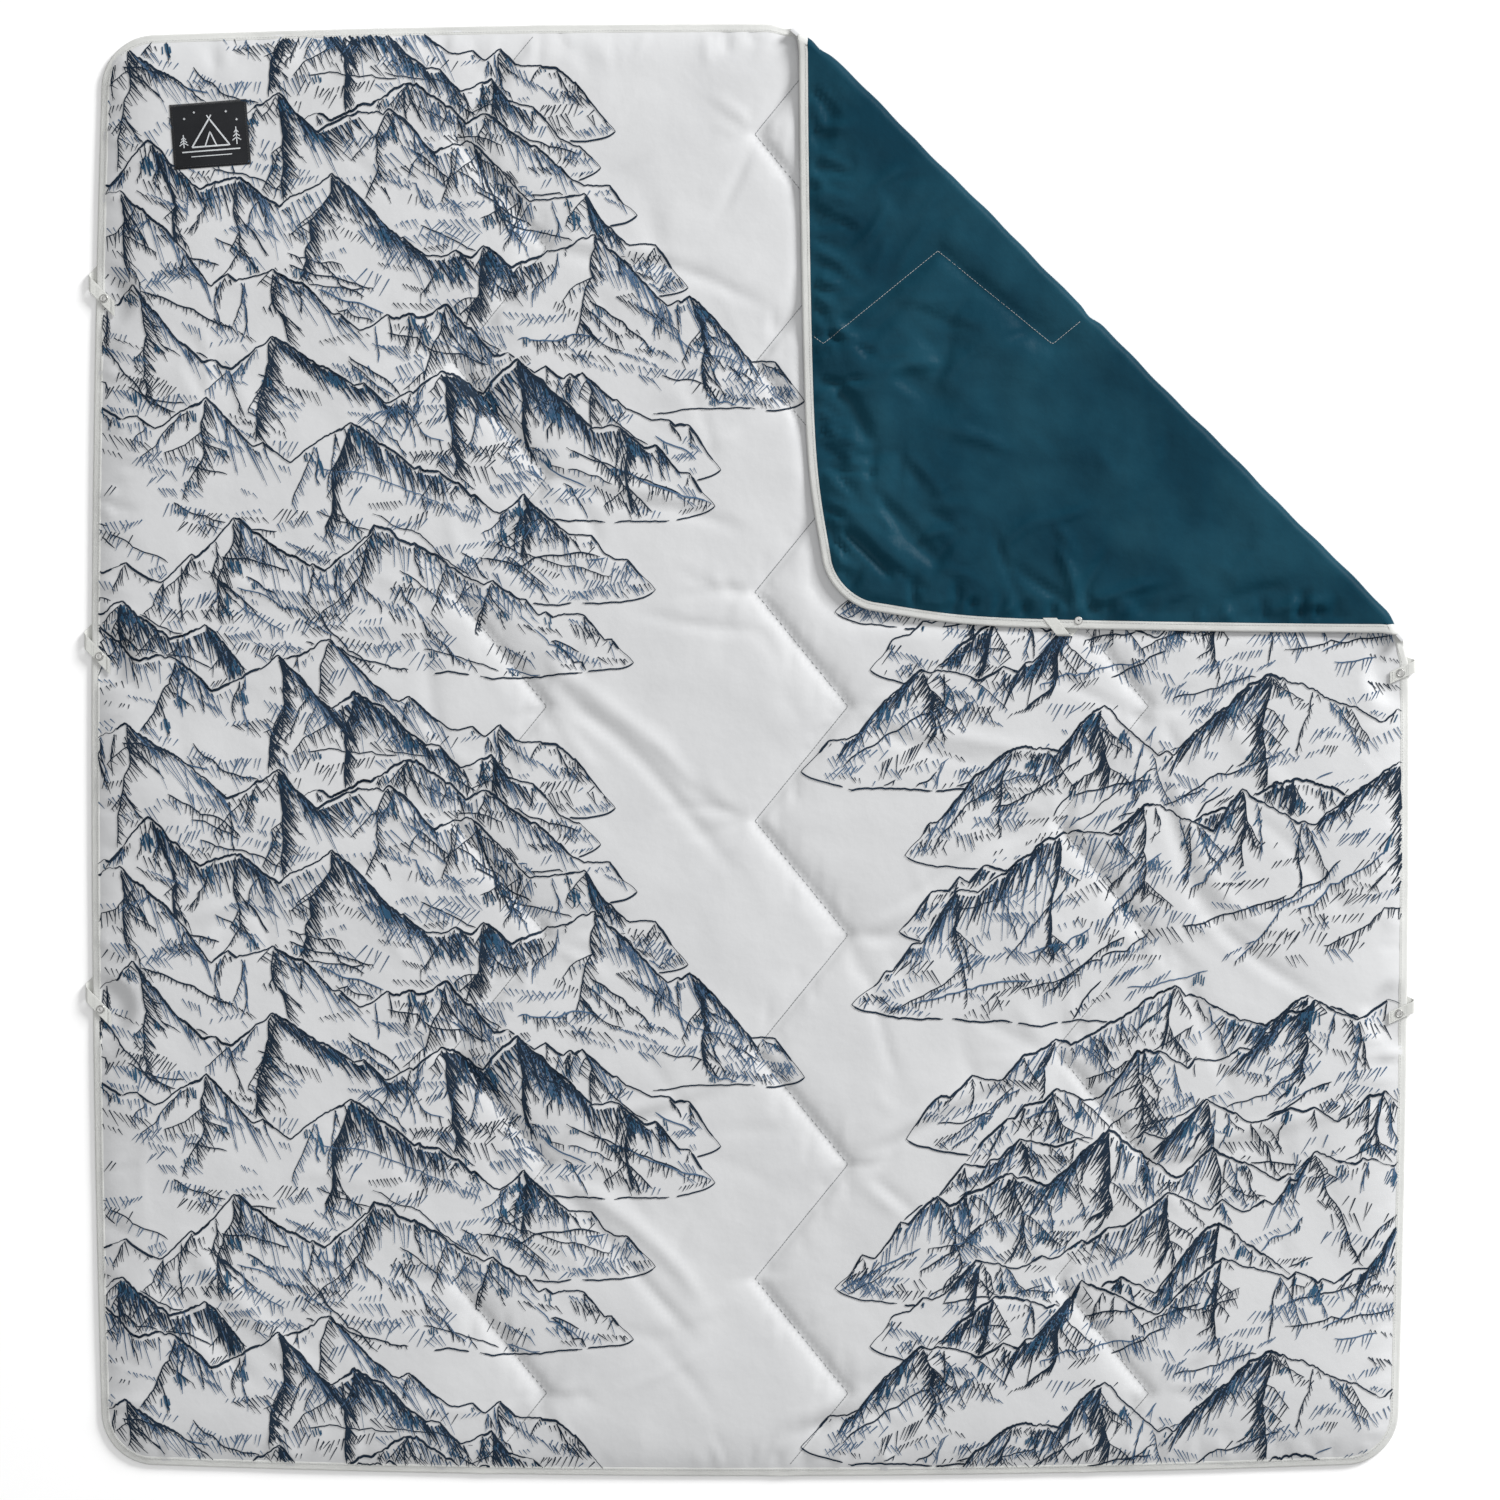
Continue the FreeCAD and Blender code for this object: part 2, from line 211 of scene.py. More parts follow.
class Field:
    """A height for every point of a regular grid over the blanket, in mm."""

    def __init__(self):
        self.nx = int(2 * (HALF_W + 12) / PITCH) + 2
        self.ny = int(2 * (HALF_L + 12) / PITCH) + 2
        self.x = -(self.nx - 1) / 2 * PITCH + PITCH * np.arange(self.nx)
        self.y = -(self.ny - 1) / 2 * PITCH + PITCH * np.arange(self.ny)
        self.X, self.Y = np.meshgrid(self.x, self.y, indexing="ij")
        self.z = np.zeros_like(self.X)

    def at(self, x, y):
        fx = np.clip((np.asarray(x) - self.x[0]) / PITCH, 0, self.nx - 1.001)
        fy = np.clip((np.asarray(y) - self.y[0]) / PITCH, 0, self.ny - 1.001)
        i, j = fx.astype(int), fy.astype(int)
        u, v = fx - i, fy - j
        z = self.z
        return (z[i, j] * (1 - u) * (1 - v) + z[i + 1, j] * u * (1 - v)
                + z[i, j + 1] * (1 - u) * v + z[i + 1, j + 1] * u * v)

    def crease(self, points, height, width, taper=0.35):
        """Raise or press in a soft wrinkle along a polyline."""
        pts = curve_through(points, 8.0) if len(points) > 2 else np.array(points, float)
        reach = width * 3.2
        low, high = pts.min(0) - reach, pts.max(0) + reach
        i0, i1 = np.searchsorted(self.x, [low[0], high[0]])
        j0, j1 = np.searchsorted(self.y, [low[1], high[1]])
        if i1 <= i0 or j1 <= j0:
            return
        X, Y = self.X[i0:i1, j0:j1], self.Y[i0:i1, j0:j1]
        best = np.full(X.shape, 1e9)
        place = np.zeros(X.shape)
        length = np.r_[0, np.cumsum(np.hypot(*np.diff(pts, axis=0).T))]
        for k in range(len(pts) - 1):
            a, d = pts[k], pts[k + 1] - pts[k]
            ll = max(d @ d, 1e-9)
            t = np.clip(((X - a[0]) * d[0] + (Y - a[1]) * d[1]) / ll, 0, 1)
            rx, ry = X - a[0] - t * d[0], Y - a[1] - t * d[1]
            dist = np.hypot(rx, ry)
            near = dist < best
            best = np.where(near, dist, best)
            place = np.where(near, length[k] + t * math.sqrt(ll), place)
        s = place / max(length[-1], 1e-9)
        fade = smooth(s / taper) * smooth((1 - s) / taper)
        self.z[i0:i1, j0:j1] += height * fade * np.exp(-(best / width) ** 2)

    def bent_crease(self, rng, start, way, length, bend, heights, widths, taper):
        """A crease that bows sideways by bend; its height and width are drawn from two ranges."""
        across = np.array([-way[1], way[0]]) * bend
        points = (start, start + way * length / 2 + across, start + way * length)
        self.crease(points, rng.uniform(*heights), rng.uniform(*widths), taper)


def curve_through(points, step):
    """A smooth curve through a few points."""
    p = np.array(points, float)
    p = np.vstack([2 * p[0] - p[1], p, 2 * p[-1] - p[-2]])
    out = []
    for k in range(1, len(p) - 2):
        n = max(2, int(np.hypot(*(p[k + 1] - p[k])) / step))
        t = np.linspace(0, 1, n, endpoint=False)[:, None]
        a, b, c, d = p[k - 1], p[k], p[k + 1], p[k + 2]
        out.append(0.5 * (2 * b + (c - a) * t + (2 * a - 5 * b + 4 * c - d) * t ** 2
                          + (3 * b - a - 3 * c + d) * t ** 3))
    return np.vstack(out + [p[-2][None]])


def soft_noise(field, size, rng):
    """Smooth noise about -1 to 1 with features of a size, on a field's grid."""
    nx = int((field.x[-1] - field.x[0]) / size) + 3
    ny = int((field.y[-1] - field.y[0]) / size) + 3
    knots = rng.uniform(-1, 1, (nx, ny))
    fx, fy = (field.X - field.x[0]) / size, (field.Y - field.y[0]) / size
    i, j = fx.astype(int), fy.astype(int)
    u, v = smooth(fx - i), smooth(fy - j)
    return (knots[i, j] * (1 - u) * (1 - v) + knots[i + 1, j] * u * (1 - v)
            + knots[i, j + 1] * (1 - u) * v + knots[i + 1, j + 1] * u * v)


# ---- the relief of the cloth ----------------------------------------------------------------
# The longest folds on the face, each as (points in mm, height, width); a negative height is a
# hollow. They start at the turns of the seams, where the stitching draws the cloth together.
LONG_FOLDS = (
    (((-300, 120), (-225, 50), (-150, -15), (-85, -90), (-15, -180)), -6.0, 13),
    (((-285, 140), (-200, 65), (-125, 5), (-60, -70)), 4.0, 15),
    (((-275, -560), (-180, -520), (-90, -490), (-20, -455)), -4.5, 12),
    (((-275, -545), (-180, -500), (-90, -470)), 4.0, 13),
    (((-275, -575), (-190, -630), (-110, -700), (-40, -790)), 5.0, 14),
    (((-270, -600), (-200, -670), (-130, -750), (-60, -830)), -5.0, 12),
    (((140, 58), (230, 30), (330, 10), (420, -10)), 4.5, 14),
    (((140, 45), (240, 0), (340, -20)), -3.5, 12),
    (((150, -255), (240, -190), (330, -130), (400, -95)), -3.5, 12),
    (((140, -580), (240, -520), (340, -470), (420, -410)), -5.5, 12),
    (((140, -560), (240, -500), (340, -450), (410, -395)), 5.5, 14),
    (((550, 0), (580, -100), (620, -210), (700, -290), (830, -370)), -5.0, 13),
    (((565, 10), (600, -90), (645, -190), (720, -260)), 4.5, 14),
    (((570, -250), (620, -370), (670, -490)), -4.5, 12),
    (((-790, -270), (-690, -225), (-560, -170), (-440, -130)), -5.0, 12),
    (((-800, -245), (-690, -200), (-560, -145)), 4.0, 13),
    (((-800, -640), (-720, -740), (-630, -830), (-560, -880)), 5.5, 18),
    (((-830, -700), (-750, -800), (-660, -890)), -4.5, 14),
    (((20, -930), (150, -890), (280, -840), (390, -770)), 5.0, 15),
    (((20, -950), (160, -915), (300, -865)), -4.5, 13),
    (((540, -580), (640, -535), (760, -505), (870, -490)), 4.5, 13),
    (((540, -600), (640, -555), (760, -525)), -4.0, 12),
    (((400, 110), (500, 60), (590, 20)), -3.5, 13),
    (((-285, 375), (-170, 340), (-80, 325), (20, 290)), -4.0, 12),
    (((-280, 390), (-160, 360), (-60, 340)), 3.5, 13),
    (((-285, 690), (-200, 670), (-110, 665), (0, 620), (50, 590)), -4.0, 12),
    (((-280, 705), (-190, 690), (-90, 680)), 3.0, 13),
    (((-150, 800), (-130, 700), (-120, 600), (-140, 480)), -2.5, 20),
    (((-170, 190), (-60, 170), (30, 160)), -3.0, 12),
    (((-450, 250), (-445, 120), (-420, -10), (-380, -60)), -3.0, 14),
    (((-770, 240), (-640, 215), (-520, 210)), 3.0, 16),
    (((-700, 100), (-590, 150), (-440, 190)), 3.0, 15),
    (((160, -300), (185, -400), (210, -470)), -3.0, 11),
    (((620, 90), (700, -20), (800, -120)), 3.0, 18),
    (((650, -60), (740, -130), (850, -260)), -3.0, 14),
)


def seam_turns():
    """Every turn of every seam as (x, y, way), way 1 for a right-hand turn."""
    turns = []
    half = SEAM_PITCH / 2
    for centre in SEAM_X:
        for i in range(-7, 7):
            way = 1 if i % 2 == 0 else -1
            turns.append((centre + way * SEAM_SWING, SEAM_RIGHT_Y + i * half, way))
    return turns


def turn_wrinkles(field, rng, strength):
    """Short wrinkles that fan out from the turns of the seams."""
    for x, y, way in seam_turns():
        for _ in range(8):
            angle = rng.uniform(-1.0, 1.0) * 1.15
            length = rng.uniform(40, 150)
            start = np.array([x + way * 5, y]) + rng.normal(0, 4, 2)
            heading = np.array([way * math.cos(angle), math.sin(angle)])
            field.bent_crease(rng, start, heading, length, rng.uniform(-14, 14),
                              (-2.2 * strength, 1.8 * strength), (6.5, 10), 0.45)
        for _ in range(4):
            angle = rng.uniform(-0.5, 0.5)
            start = np.array([x - way * 6, y])
            heading = np.array([-way * math.cos(angle), math.sin(angle)])
            pts = (start, start + heading * rng.uniform(20, 60))
            field.crease(pts, strength * rng.uniform(-1.2, 0.6), 6.5, taper=0.5)


def leg_pleats(field, rng, strength):
    """Fine upright pleats where the stitching gathers the cloth along a seam's slanting legs."""
    half = SEAM_PITCH / 2
    for centre in SEAM_X:
        y = -HALF_L + 20
        while y < HALF_L - 20:
            phase = ((y - SEAM_RIGHT_Y) / half) % 2.0
            swing = SEAM_SWING * (1 - 2 * (phase if phase <= 1 else 2 - phase))
            way = rng.choice([-1, 1])
            length = rng.uniform(22, 70)
            drift = rng.uniform(-7, 7)
            start = (centre + swing, y)
            end = (centre + swing + drift, y + way * length)
            field.crease((start, end), strength * rng.uniform(-1.1, 0.8), rng.uniform(4.8, 6.5), taper=0.4)
            y += rng.uniform(5, 11)


def edge_puckers(field, rng, strength, reach):
    """Puckers that run in from the bound edges."""
    for (x, y), (nx, ny) in zip(*outline_points(9.0)):
        if rng.random() < 0.62:
            continue
        length = rng.uniform(0.35, 1.0) * reach
        tilt = rng.normal(0, 0.35)
        c, s = math.cos(tilt), math.sin(tilt)
        inward = np.array([-nx * c + ny * s, -nx * s - ny * c])
        start = np.array([x, y]) + inward * 4
        field.crease((start, start + inward * length), strength * rng.uniform(-1.5, 1.3),
                     rng.uniform(4.8, 8.5), taper=0.4)


def outline_points(step):
    """Points and outward normals along the whole outline, anticlockwise from the right side."""
    pts, nrm = [], []

    def arc(centre, radius, a0, a1):
        n = max(2, int(abs(a1 - a0) * radius / step))
        for a in np.linspace(a0, a1, n, endpoint=False):
            d = np.array([math.cos(a), math.sin(a)])
            pts.append(centre + d * radius)
            nrm.append(d)

    side_a = math.atan2(FROM_SIDE[1], FROM_SIDE[0])
    end_a = math.atan2(FROM_END[1], FROM_END[0])
    flip_x, flip_y = np.array([-1, 1]), np.array([1, -1])
    pi = math.pi
    arc(SIDE_C, SIDE_R, -side_a, side_a)
    arc(CORNER_C, CORNER_R, side_a, end_a)
    arc(END_C, END_R, end_a, pi - end_a)
    arc(CORNER_C * flip_x, CORNER_R, pi - end_a, pi - side_a)
    arc(SIDE_C * flip_x, SIDE_R, pi - side_a, pi + side_a)
    arc(-CORNER_C, CORNER_R, pi + side_a, pi + end_a)
    arc(END_C * flip_y, END_R, pi + end_a, 2 * pi - end_a)
    arc(CORNER_C * flip_y, CORNER_R, 2 * pi - end_a, 2 * pi - side_a)
    return np.array(pts), np.array(nrm)


def face_field():
    """The printed side of the main panel, as it lies."""
    rng = np.random.default_rng(7)
    f = Field()
    relief = Field()
    d = edge_distance(f.X, f.Y)
    relief.z += 2.2 * soft_noise(f, 150, rng) + 1.7 * soft_noise(f, 75, rng) + 0.8 * soft_noise(f, 34, rng)
    for points, height, width in LONG_FOLDS:
        relief.crease(points, 1.1 * height, 0.72 * width, taper=0.3)
    turn_wrinkles(relief, rng, 2.0)
    leg_pleats(relief, rng, 2.3)
    for _ in range(240):
        start = rng.uniform((-HALF_W + 60, -HALF_L + 60), (HALF_W - 60, HALF_L - 60))
        heading = rng.choice([-0.85, -0.7, 0.45, -1.2]) + rng.normal(0, 0.3)
        length = rng.uniform(60, 230)
        way = np.array([math.cos(heading), math.sin(heading)])
        relief.bent_crease(rng, start, way, length, rng.uniform(-20, 20), (-2.8, 2.8), (6, 12), 0.45)
    deepest = 5.0
    relief.z = deepest * np.tanh(0.62 * relief.z / deepest)
    for centre in SEAM_X:
        s = np.abs(seam_distance(f.X, f.Y, centre))
        relief.z -= 5.5 * np.exp(-(s / 19) ** 1.2) + 3.2 * np.exp(-(s / 6) ** 2)
    cover = smooth((flap_distance(f.X, f.Y) + 22) / 40)
    cover = np.where(past_fold(f.X, f.Y) > -FOLD_REACH, cover, 0)
    relief.z *= 1 - 0.88 * cover
    margin = Field()
    edge_puckers(margin, rng, 1.7, reach=80)
    loft = LOFT + (COVERED - LOFT) * cover
    rise = 1 - np.exp(-np.clip(d - 5, 0, None) / 30)
    z = EDGE_TOP + (loft - EDGE_TOP) * rise + relief.z * smooth((d - 4) / 70)
    z += margin.z * smooth((d - 2) / 10) * (1 - cover)
    pressed = under_tabs(f.X, f.Y)
    z = z + (EDGE_TOP + 0.1 - z) * pressed
    f.z = np.maximum(z, EDGE_TOP + 0.4 * np.clip(d / 60, 0, 1))
    f.z = np.where(cover > 0.5, np.minimum(f.z, COVERED + 0.6), f.z)
    return f


def back_field():
    """The teal side of the main panel, which lies on the ground."""
    rng = np.random.default_rng(8)
    f = Field()
    d = edge_distance(f.X, f.Y)
    z = 0.25 + (EDGE_BOTTOM - 0.25) * np.exp(-np.clip(d - 5, 0, None) / 22)
    for centre in SEAM_X:
        s = np.abs(seam_distance(f.X, f.Y, centre))
        z += 3.2 * np.exp(-(s / 14) ** 1.4)
    wrinkles = Field()
    turn_wrinkles(wrinkles, rng, 0.5)
    z += np.abs(wrinkles.z) + 0.35 * (1 + soft_noise(f, 60, rng))
    pressed = under_tabs(f.X, f.Y)
    f.z = np.minimum(z + (EDGE_BOTTOM + 0.1 - z) * pressed, EDGE_TOP)
    return f


def flap_edge_height(x, y):
    """The teal cloth just inside the folded corner's tape: high at the roll, low at the tip."""
    away = np.clip(-past_fold(x, y) - ROLL_R, 0, None)
    return FLAP_EDGE + (FOLD_Z + ROLL_R - 1.8 - FLAP_EDGE) * np.exp(-away / 46)


def flap_field():
    """The folded corner's teal side, facing up, and its printed side, facing down."""
    rng = np.random.default_rng(9)
    f = Field()
    d = flap_distance(f.X, f.Y)
    u = -past_fold(f.X, f.Y)
    relief = Field()
    for centre in SEAM_X:
        s = np.abs(seam_distance(*flap_seam(f.X, f.Y), centre))
        relief.z -= 2.2 * np.exp(-(s / 12) ** 1.4) + 0.8 * np.exp(-(s / 5) ** 2)
    relief.z += 1.8 * soft_noise(f, 120, rng) + 1.3 * soft_noise(f, 55, rng) + 0.5 * soft_noise(f, 28, rng)
    pts, nrm = outline_points(7.0)
    keep = past_fold(pts[:, 0], pts[:, 1]) > 20
    pts, nrm = pts[keep], nrm[keep]
    folded = np.column_stack(mirrored(pts[:, 0], pts[:, 1]))
    folded_n = np.column_stack([-nrm[:, 1], -nrm[:, 0]])
    for (x, y), (nx, ny) in zip(folded, folded_n):
        if rng.random() < 0.3:
            continue
        left_side = abs(nx) > 0.8
        length = rng.uniform(25, 120) if left_side else rng.uniform(15, 60)
        tilt = rng.normal(0.5 if left_side else 0.15, 0.4)
        c, s = math.cos(tilt), math.sin(tilt)
        inward = np.array([-nx * c - ny * s, nx * s - ny * c])
        start = np.array([x, y]) + inward * 5
        relief.bent_crease(rng, start, inward, length, rng.uniform(-9, 9), (-4.5, 3.5), (4.6, 7.5), 0.4)
    for points, height, width in FLAP_FOLDS:
        relief.crease(points, 1.7 * height, 0.85 * width, taper=0.35)
    for _ in range(150):
        whole = rng.random() < 0.5
        start = rng.uniform((90, 190), (860, 960)) if whole else rng.uniform((95, 200), (260, 900))
        if past_fold(*start) > -60:
            continue
        heading = rng.choice([-0.75, -0.2, 0.7, 1.3]) + rng.normal(0, 0.3)
        length = rng.uniform(40, 150)
        way = np.array([math.cos(heading), math.sin(heading)])
        relief.bent_crease(rng, start, way, length, rng.uniform(-12, 12), (-2.2, 2.2), (4.6, 9), 0.45)
    rise = 1 - np.exp(-np.clip(d - 5, 0, None) / 34)
    edge = flap_edge_height(f.X, f.Y)
    top = FLAP_TOP + (FOLD_Z + ROLL_R - FLAP_TOP) * np.exp(-(np.clip(u - ROLL_R, 0, None) / 38) ** 2)
    calm = smooth((u - ROLL_R - 2) / 50)
    even = edge + (top - edge) * rise
    deepest = 6.5
    relief.z = deepest * np.tanh(2.5 * relief.z / deepest)
    wrinkled = even + relief.z * calm * smooth((d - 11) / 13)
    under = Field()
    thick = 2.9 + 10.5 * (1 - np.exp(-np.clip(d - 5, 0, None) / 16))
    under.z = np.maximum(even - thick, FOLD_Z + 0.5)
    f.z = np.maximum(wrinkled, under.z + 2.4)
    inside_roll = np.clip((ROLL_R - u) / ROLL_R, 0, 1)         # the cloth dips under the roll's own cloth
    f.z -= (f.z - FOLD_Z) * (1 - np.sqrt(1 - inside_roll ** 2)) + 1.2 * smooth(inside_roll * 3)
    return f, under


# Folds on the teal corner: drawn down to the tip, beside the tape and round the snap.
FLAP_FOLDS = (
    (((135, 400), (175, 340), (215, 290), (270, 235)), -4.5, 12),
    (((120, 420), (160, 360), (200, 305)), 3.5, 13),
    (((115, 330), (160, 285), (215, 230)), 4.0, 11),
    (((110, 300), (150, 260), (190, 215)), -4.0, 9),
    (((100, 520), (140, 470), (170, 410)), -3.0, 10),
    (((95, 610), (130, 570), (160, 500)), 2.5, 10),
    (((160, 560), (230, 500), (300, 470)), -1.6, 20),
    (((452, 195), (440, 240), (420, 290)), 2.2, 7),
    (((452, 195), (470, 240), (500, 280)), -2.0, 7),
    (((452, 195), (400, 225), (350, 260)), -2.0, 8),
    (((452, 195), (520, 220), (580, 235)), 1.8, 8),
    (((640, 195), (690, 215), (740, 225)), -1.8, 9),
    (((700, 180), (750, 200), (810, 200)), 1.6, 8),
    (((250, 620), (340, 560), (430, 520)), 1.4, 26),
)


# ---- meshes ---------------------------------------------------------------------------------
def new_mesh(name, verts_mm, faces, smooth_shade=True):
    mesh = bpy.data.meshes.new(name)
    verts = np.asarray(verts_mm, float) * MM
    mesh.from_pydata(verts.tolist(), [], [tuple(f) for f in faces])
    mesh.update()
    if smooth_shade:
        mesh.polygons.foreach_set("use_smooth", np.ones(len(mesh.polygons), bool))
    obj = bpy.data.objects.new(name, mesh)
    bpy.context.scene.collection.objects.link(obj)
    return obj


def grid_cells(inside):
    """The grid's cells with all four corners inside, and the points that they use."""
    cells = inside[:-1, :-1] & inside[1:, :-1] & inside[:-1, 1:] & inside[1:, 1:]
    used = np.zeros_like(inside)
    for a, b in ((0, 0), (1, 0), (0, 1), (1, 1)):
        used[a:a + cells.shape[0], b:b + cells.shape[1]] |= cells
    index = np.full(inside.shape, -1)
    index[used] = np.arange(used.sum())
    return cells, used, index


def cloth_surface(name, field, room, face_up=True, step=1):
    """A grid of cloth trimmed to the places where there is room for it."""
    X, Y = field.X[::step, ::step], field.Y[::step, ::step]
    cells, used, index = grid_cells(room(X, Y) > 0)
    full = np.zeros_like(used)
    full[1:-1, 1:-1] = grid_cells(cells)[0]
    rim = used & ~full
    x, y = X.copy(), Y.copy()
    eps = 0.5
    for _ in range(3):
        here = room(x, y)
        gx = (room(x + eps, y) - room(x - eps, y)) / (2 * eps)
        gy = (room(x, y + eps) - room(x, y - eps)) / (2 * eps)
        size = np.maximum(gx ** 2 + gy ** 2, 0.2)
        x = np.where(rim, x - here * gx / size, x)
        y = np.where(rim, y - here * gy / size, y)
    verts = np.column_stack([x[used], y[used], field.at(x[used], y[used])])
    i, j = np.nonzero(cells)
    quads = np.column_stack([index[i, j], index[i + 1, j], index[i + 1, j + 1], index[i, j + 1]])
    if not face_up:
        quads = quads[:, ::-1]
    return new_mesh(name, verts, quads)


def strip_parts(rings, closed=False):
    """Quads between neighbouring rings of points, as (verts, faces); a closed strip has end caps."""
    rings = np.asarray(rings, float)
    n, m = rings.shape[:2]
    faces = []
    for i in range(n - 1):
        a, b = i * m, (i + 1) * m
        for j in range(m if closed else m - 1):
            k = (j + 1) % m
            faces.append((a + j, a + k, b + k, b + j))
    if closed:
        faces.append(tuple(range(m))[::-1])
        faces.append(tuple(range((n - 1) * m, n * m)))
    return rings.reshape(-1, 3), faces


def strip_mesh(name, rings, closed=False):
    return new_mesh(name, *strip_parts(rings, closed))


def join_meshes(name, parts):
    """Several (verts, faces) lists as one object."""
    verts, faces, base = [], [], 0
    for v, f in parts:
        verts.append(np.asarray(v, float))
        faces.extend([tuple(int(q) + base for q in face) for face in f])
        base += len(v)
    return new_mesh(name, np.vstack(verts), faces)


# ---- materials ------------------------------------------------------------------------------
def node_material(name):
    mat = bpy.data.materials.new(name)
    mat.use_nodes = True
    tree = mat.node_tree
    shader = tree.nodes["Principled BSDF"]
    return mat, tree, shader


def add(tree, kind, **values):
    node = tree.nodes.new(kind)
    for key, value in values.items():
        if key in node.inputs:
            node.inputs[key].default_value = value
        else:
            setattr(node, key, value)
    return node


def noise_texture(tree, coords, scale, detail):
    noise = add(tree, "ShaderNodeTexNoise", Scale=scale, Detail=detail)
    tree.links.new(coords.outputs["Object"], noise.inputs["Vector"])
    return noise


def weave_bump(tree, shader, coords, scale, depth, crumple):
    """A plain weave with slubs, on top of the crumpled cloth."""
    link = tree.links.new
    total = noise_texture(tree, coords, scale * 0.35, 3.0).outputs["Fac"]
    for direction in "YX":
        threads = add(tree, "ShaderNodeTexWave", wave_type="BANDS", bands_direction=direction, Scale=scale)
        link(coords.outputs["Object"], threads.inputs["Vector"])
        both = add(tree, "ShaderNodeMath", operation="ADD")
        link(threads.outputs["Fac"], both.inputs[0])
        link(total, both.inputs[1])
        total = both.outputs[0]
    bump = add(tree, "ShaderNodeBump", Strength=depth, Distance=0.0004)
    link(total, bump.inputs["Height"])
    link(crumple.outputs["Normal"], bump.inputs["Normal"])
    link(bump.outputs["Normal"], shader.inputs["Normal"])


def mottled(tree, shader, coords, dark, light):
    """Slow colour variation between two tones, placed at random; on the teal cloth the wide spread is painted
    sheen and painted fold shade.
    """
    noise = noise_texture(tree, coords, 9.0, 6.0)
    ramp = add(tree, "ShaderNodeValToRGB")
    for stop, place, tone in zip(ramp.color_ramp.elements, (0.35, 0.65), (dark, light)):
        stop.position = place
        stop.color = (*tone, 1)
    tree.links.new(noise.outputs["Fac"], ramp.inputs["Fac"])
    tree.links.new(ramp.outputs["Color"], shader.inputs["Base Color"])


def crumple_bump(tree, coords, scale, strength, distance):
    noise = noise_texture(tree, coords, scale, 4.0)
    noise.inputs["Roughness"].default_value = 0.55
    bump = add(tree, "ShaderNodeBump", Strength=strength, Distance=distance)
    tree.links.new(noise.outputs["Fac"], bump.inputs["Height"])
    return bump


def cloth_material(name, tones, rough, sheen, weave, crumple=(60, 0.25, 0.003), shine=0.07):
    """Cloth between two tones; weave is (threads, depth) and crumple (scale, strength, distance)."""
    mat, tree, shader = node_material(name)
    coords = add(tree, "ShaderNodeTexCoord")
    weave_bump(tree, shader, coords, *weave, crumple_bump(tree, coords, *crumple))
    mottled(tree, shader, coords, *tones)
    shader.inputs["Roughness"].default_value = rough
    shader.inputs["Sheen Weight"].default_value = sheen
    shader.inputs["Sheen Roughness"].default_value = 0.4
    shader.inputs["Specular IOR Level"].default_value = shine
    return mat


def metal_material():
    mat, tree, shader = node_material("nickel")
    noise = noise_texture(tree, add(tree, "ShaderNodeTexCoord"), 900.0, 2.0)
    ramp = add(tree, "ShaderNodeMapRange")
    ramp.inputs["To Min"].default_value = 0.28
    ramp.inputs["To Max"].default_value = 0.45
    tree.links.new(noise.outputs["Fac"], ramp.inputs["Value"])
    tree.links.new(ramp.outputs["Result"], shader.inputs["Roughness"])
    shader.inputs["Base Color"].default_value = (0.36, 0.36, 0.35, 1)
    shader.inputs["Metallic"].default_value = 1.0
    return mat


MATS = {
    "face": cloth_material("face_cloth", ((0.540, 0.545, 0.553), (0.560, 0.565, 0.572)), 0.6, 0.0,
                           (900, 0.04), (16, 0.25, 0.006)),
    # The teal's two tones lie far apart: the lighter patches are painted sheen and the darker ones painted
    # fold shade, placed at random over the cloth.
    "teal": cloth_material("teal_cloth", ((0.0038, 0.030, 0.050), (0.0088, 0.049, 0.075)), 0.42, 0.0,
                           (900, 0.03), (18, 0.35, 0.008), shine=0.035),
    "tape": cloth_material("tape_cloth", ((0.56, 0.565, 0.55), (0.63, 0.635, 0.615)), 0.7, 0.0,
                           (300, 0.5), (160, 0.4, 0.0008)),
    "tab": cloth_material("tab_tape", ((0.55, 0.555, 0.53), (0.64, 0.645, 0.62)), 0.65, 0.2,
                          (380, 0.5), (140, 0.3, 0.0006)),
    "thread": cloth_material("sewing_thread", ((0.42, 0.43, 0.42), (0.52, 0.53, 0.52)), 0.6, 0.2,
                             (1500, 0.5)),
    "batting": cloth_material("batting_fibre", ((0.75, 0.75, 0.74), (0.85, 0.85, 0.84)), 0.9, 0.5,
                              (300, 0.6)),
    "ink": cloth_material("print_ink", ((0.009, 0.018, 0.032), (0.014, 0.026, 0.045)), 0.6, 0.0,
                          (900, 0.06)),
    "ink_blue": cloth_material("print_blue", ((0.018, 0.058, 0.108), (0.028, 0.082, 0.145)), 0.6, 0.0,
                               (900, 0.06)),
    "ink_hatch": cloth_material("print_hatch", ((0.045, 0.085, 0.150), (0.070, 0.125, 0.210)), 0.6, 0.0,
                                (900, 0.06)),
    # Darker than the real light grey thread: painted shade, standing in for the shadow in the crease that
    # each quilting seam presses into the face.
    "seam_thread": cloth_material("seam_thread", ((0.24, 0.25, 0.26), (0.33, 0.34, 0.35)), 0.6, 0.0,
                                  (1500, 0.5)),
    "thread_dark": cloth_material("label_sewing", ((0.02, 0.021, 0.023), (0.04, 0.042, 0.045)), 0.7, 0.2,
                                  (1500, 0.5)),
    "label": cloth_material("label_weave", ((0.010, 0.011, 0.013), (0.020, 0.021, 0.024)), 0.75, 0.3,
                            (700, 0.6)),
    "label_art": cloth_material("label_thread", ((0.50, 0.52, 0.54), (0.66, 0.68, 0.70)), 0.7, 0.2,
                                (900, 0.5)),
    "metal": metal_material(),
}


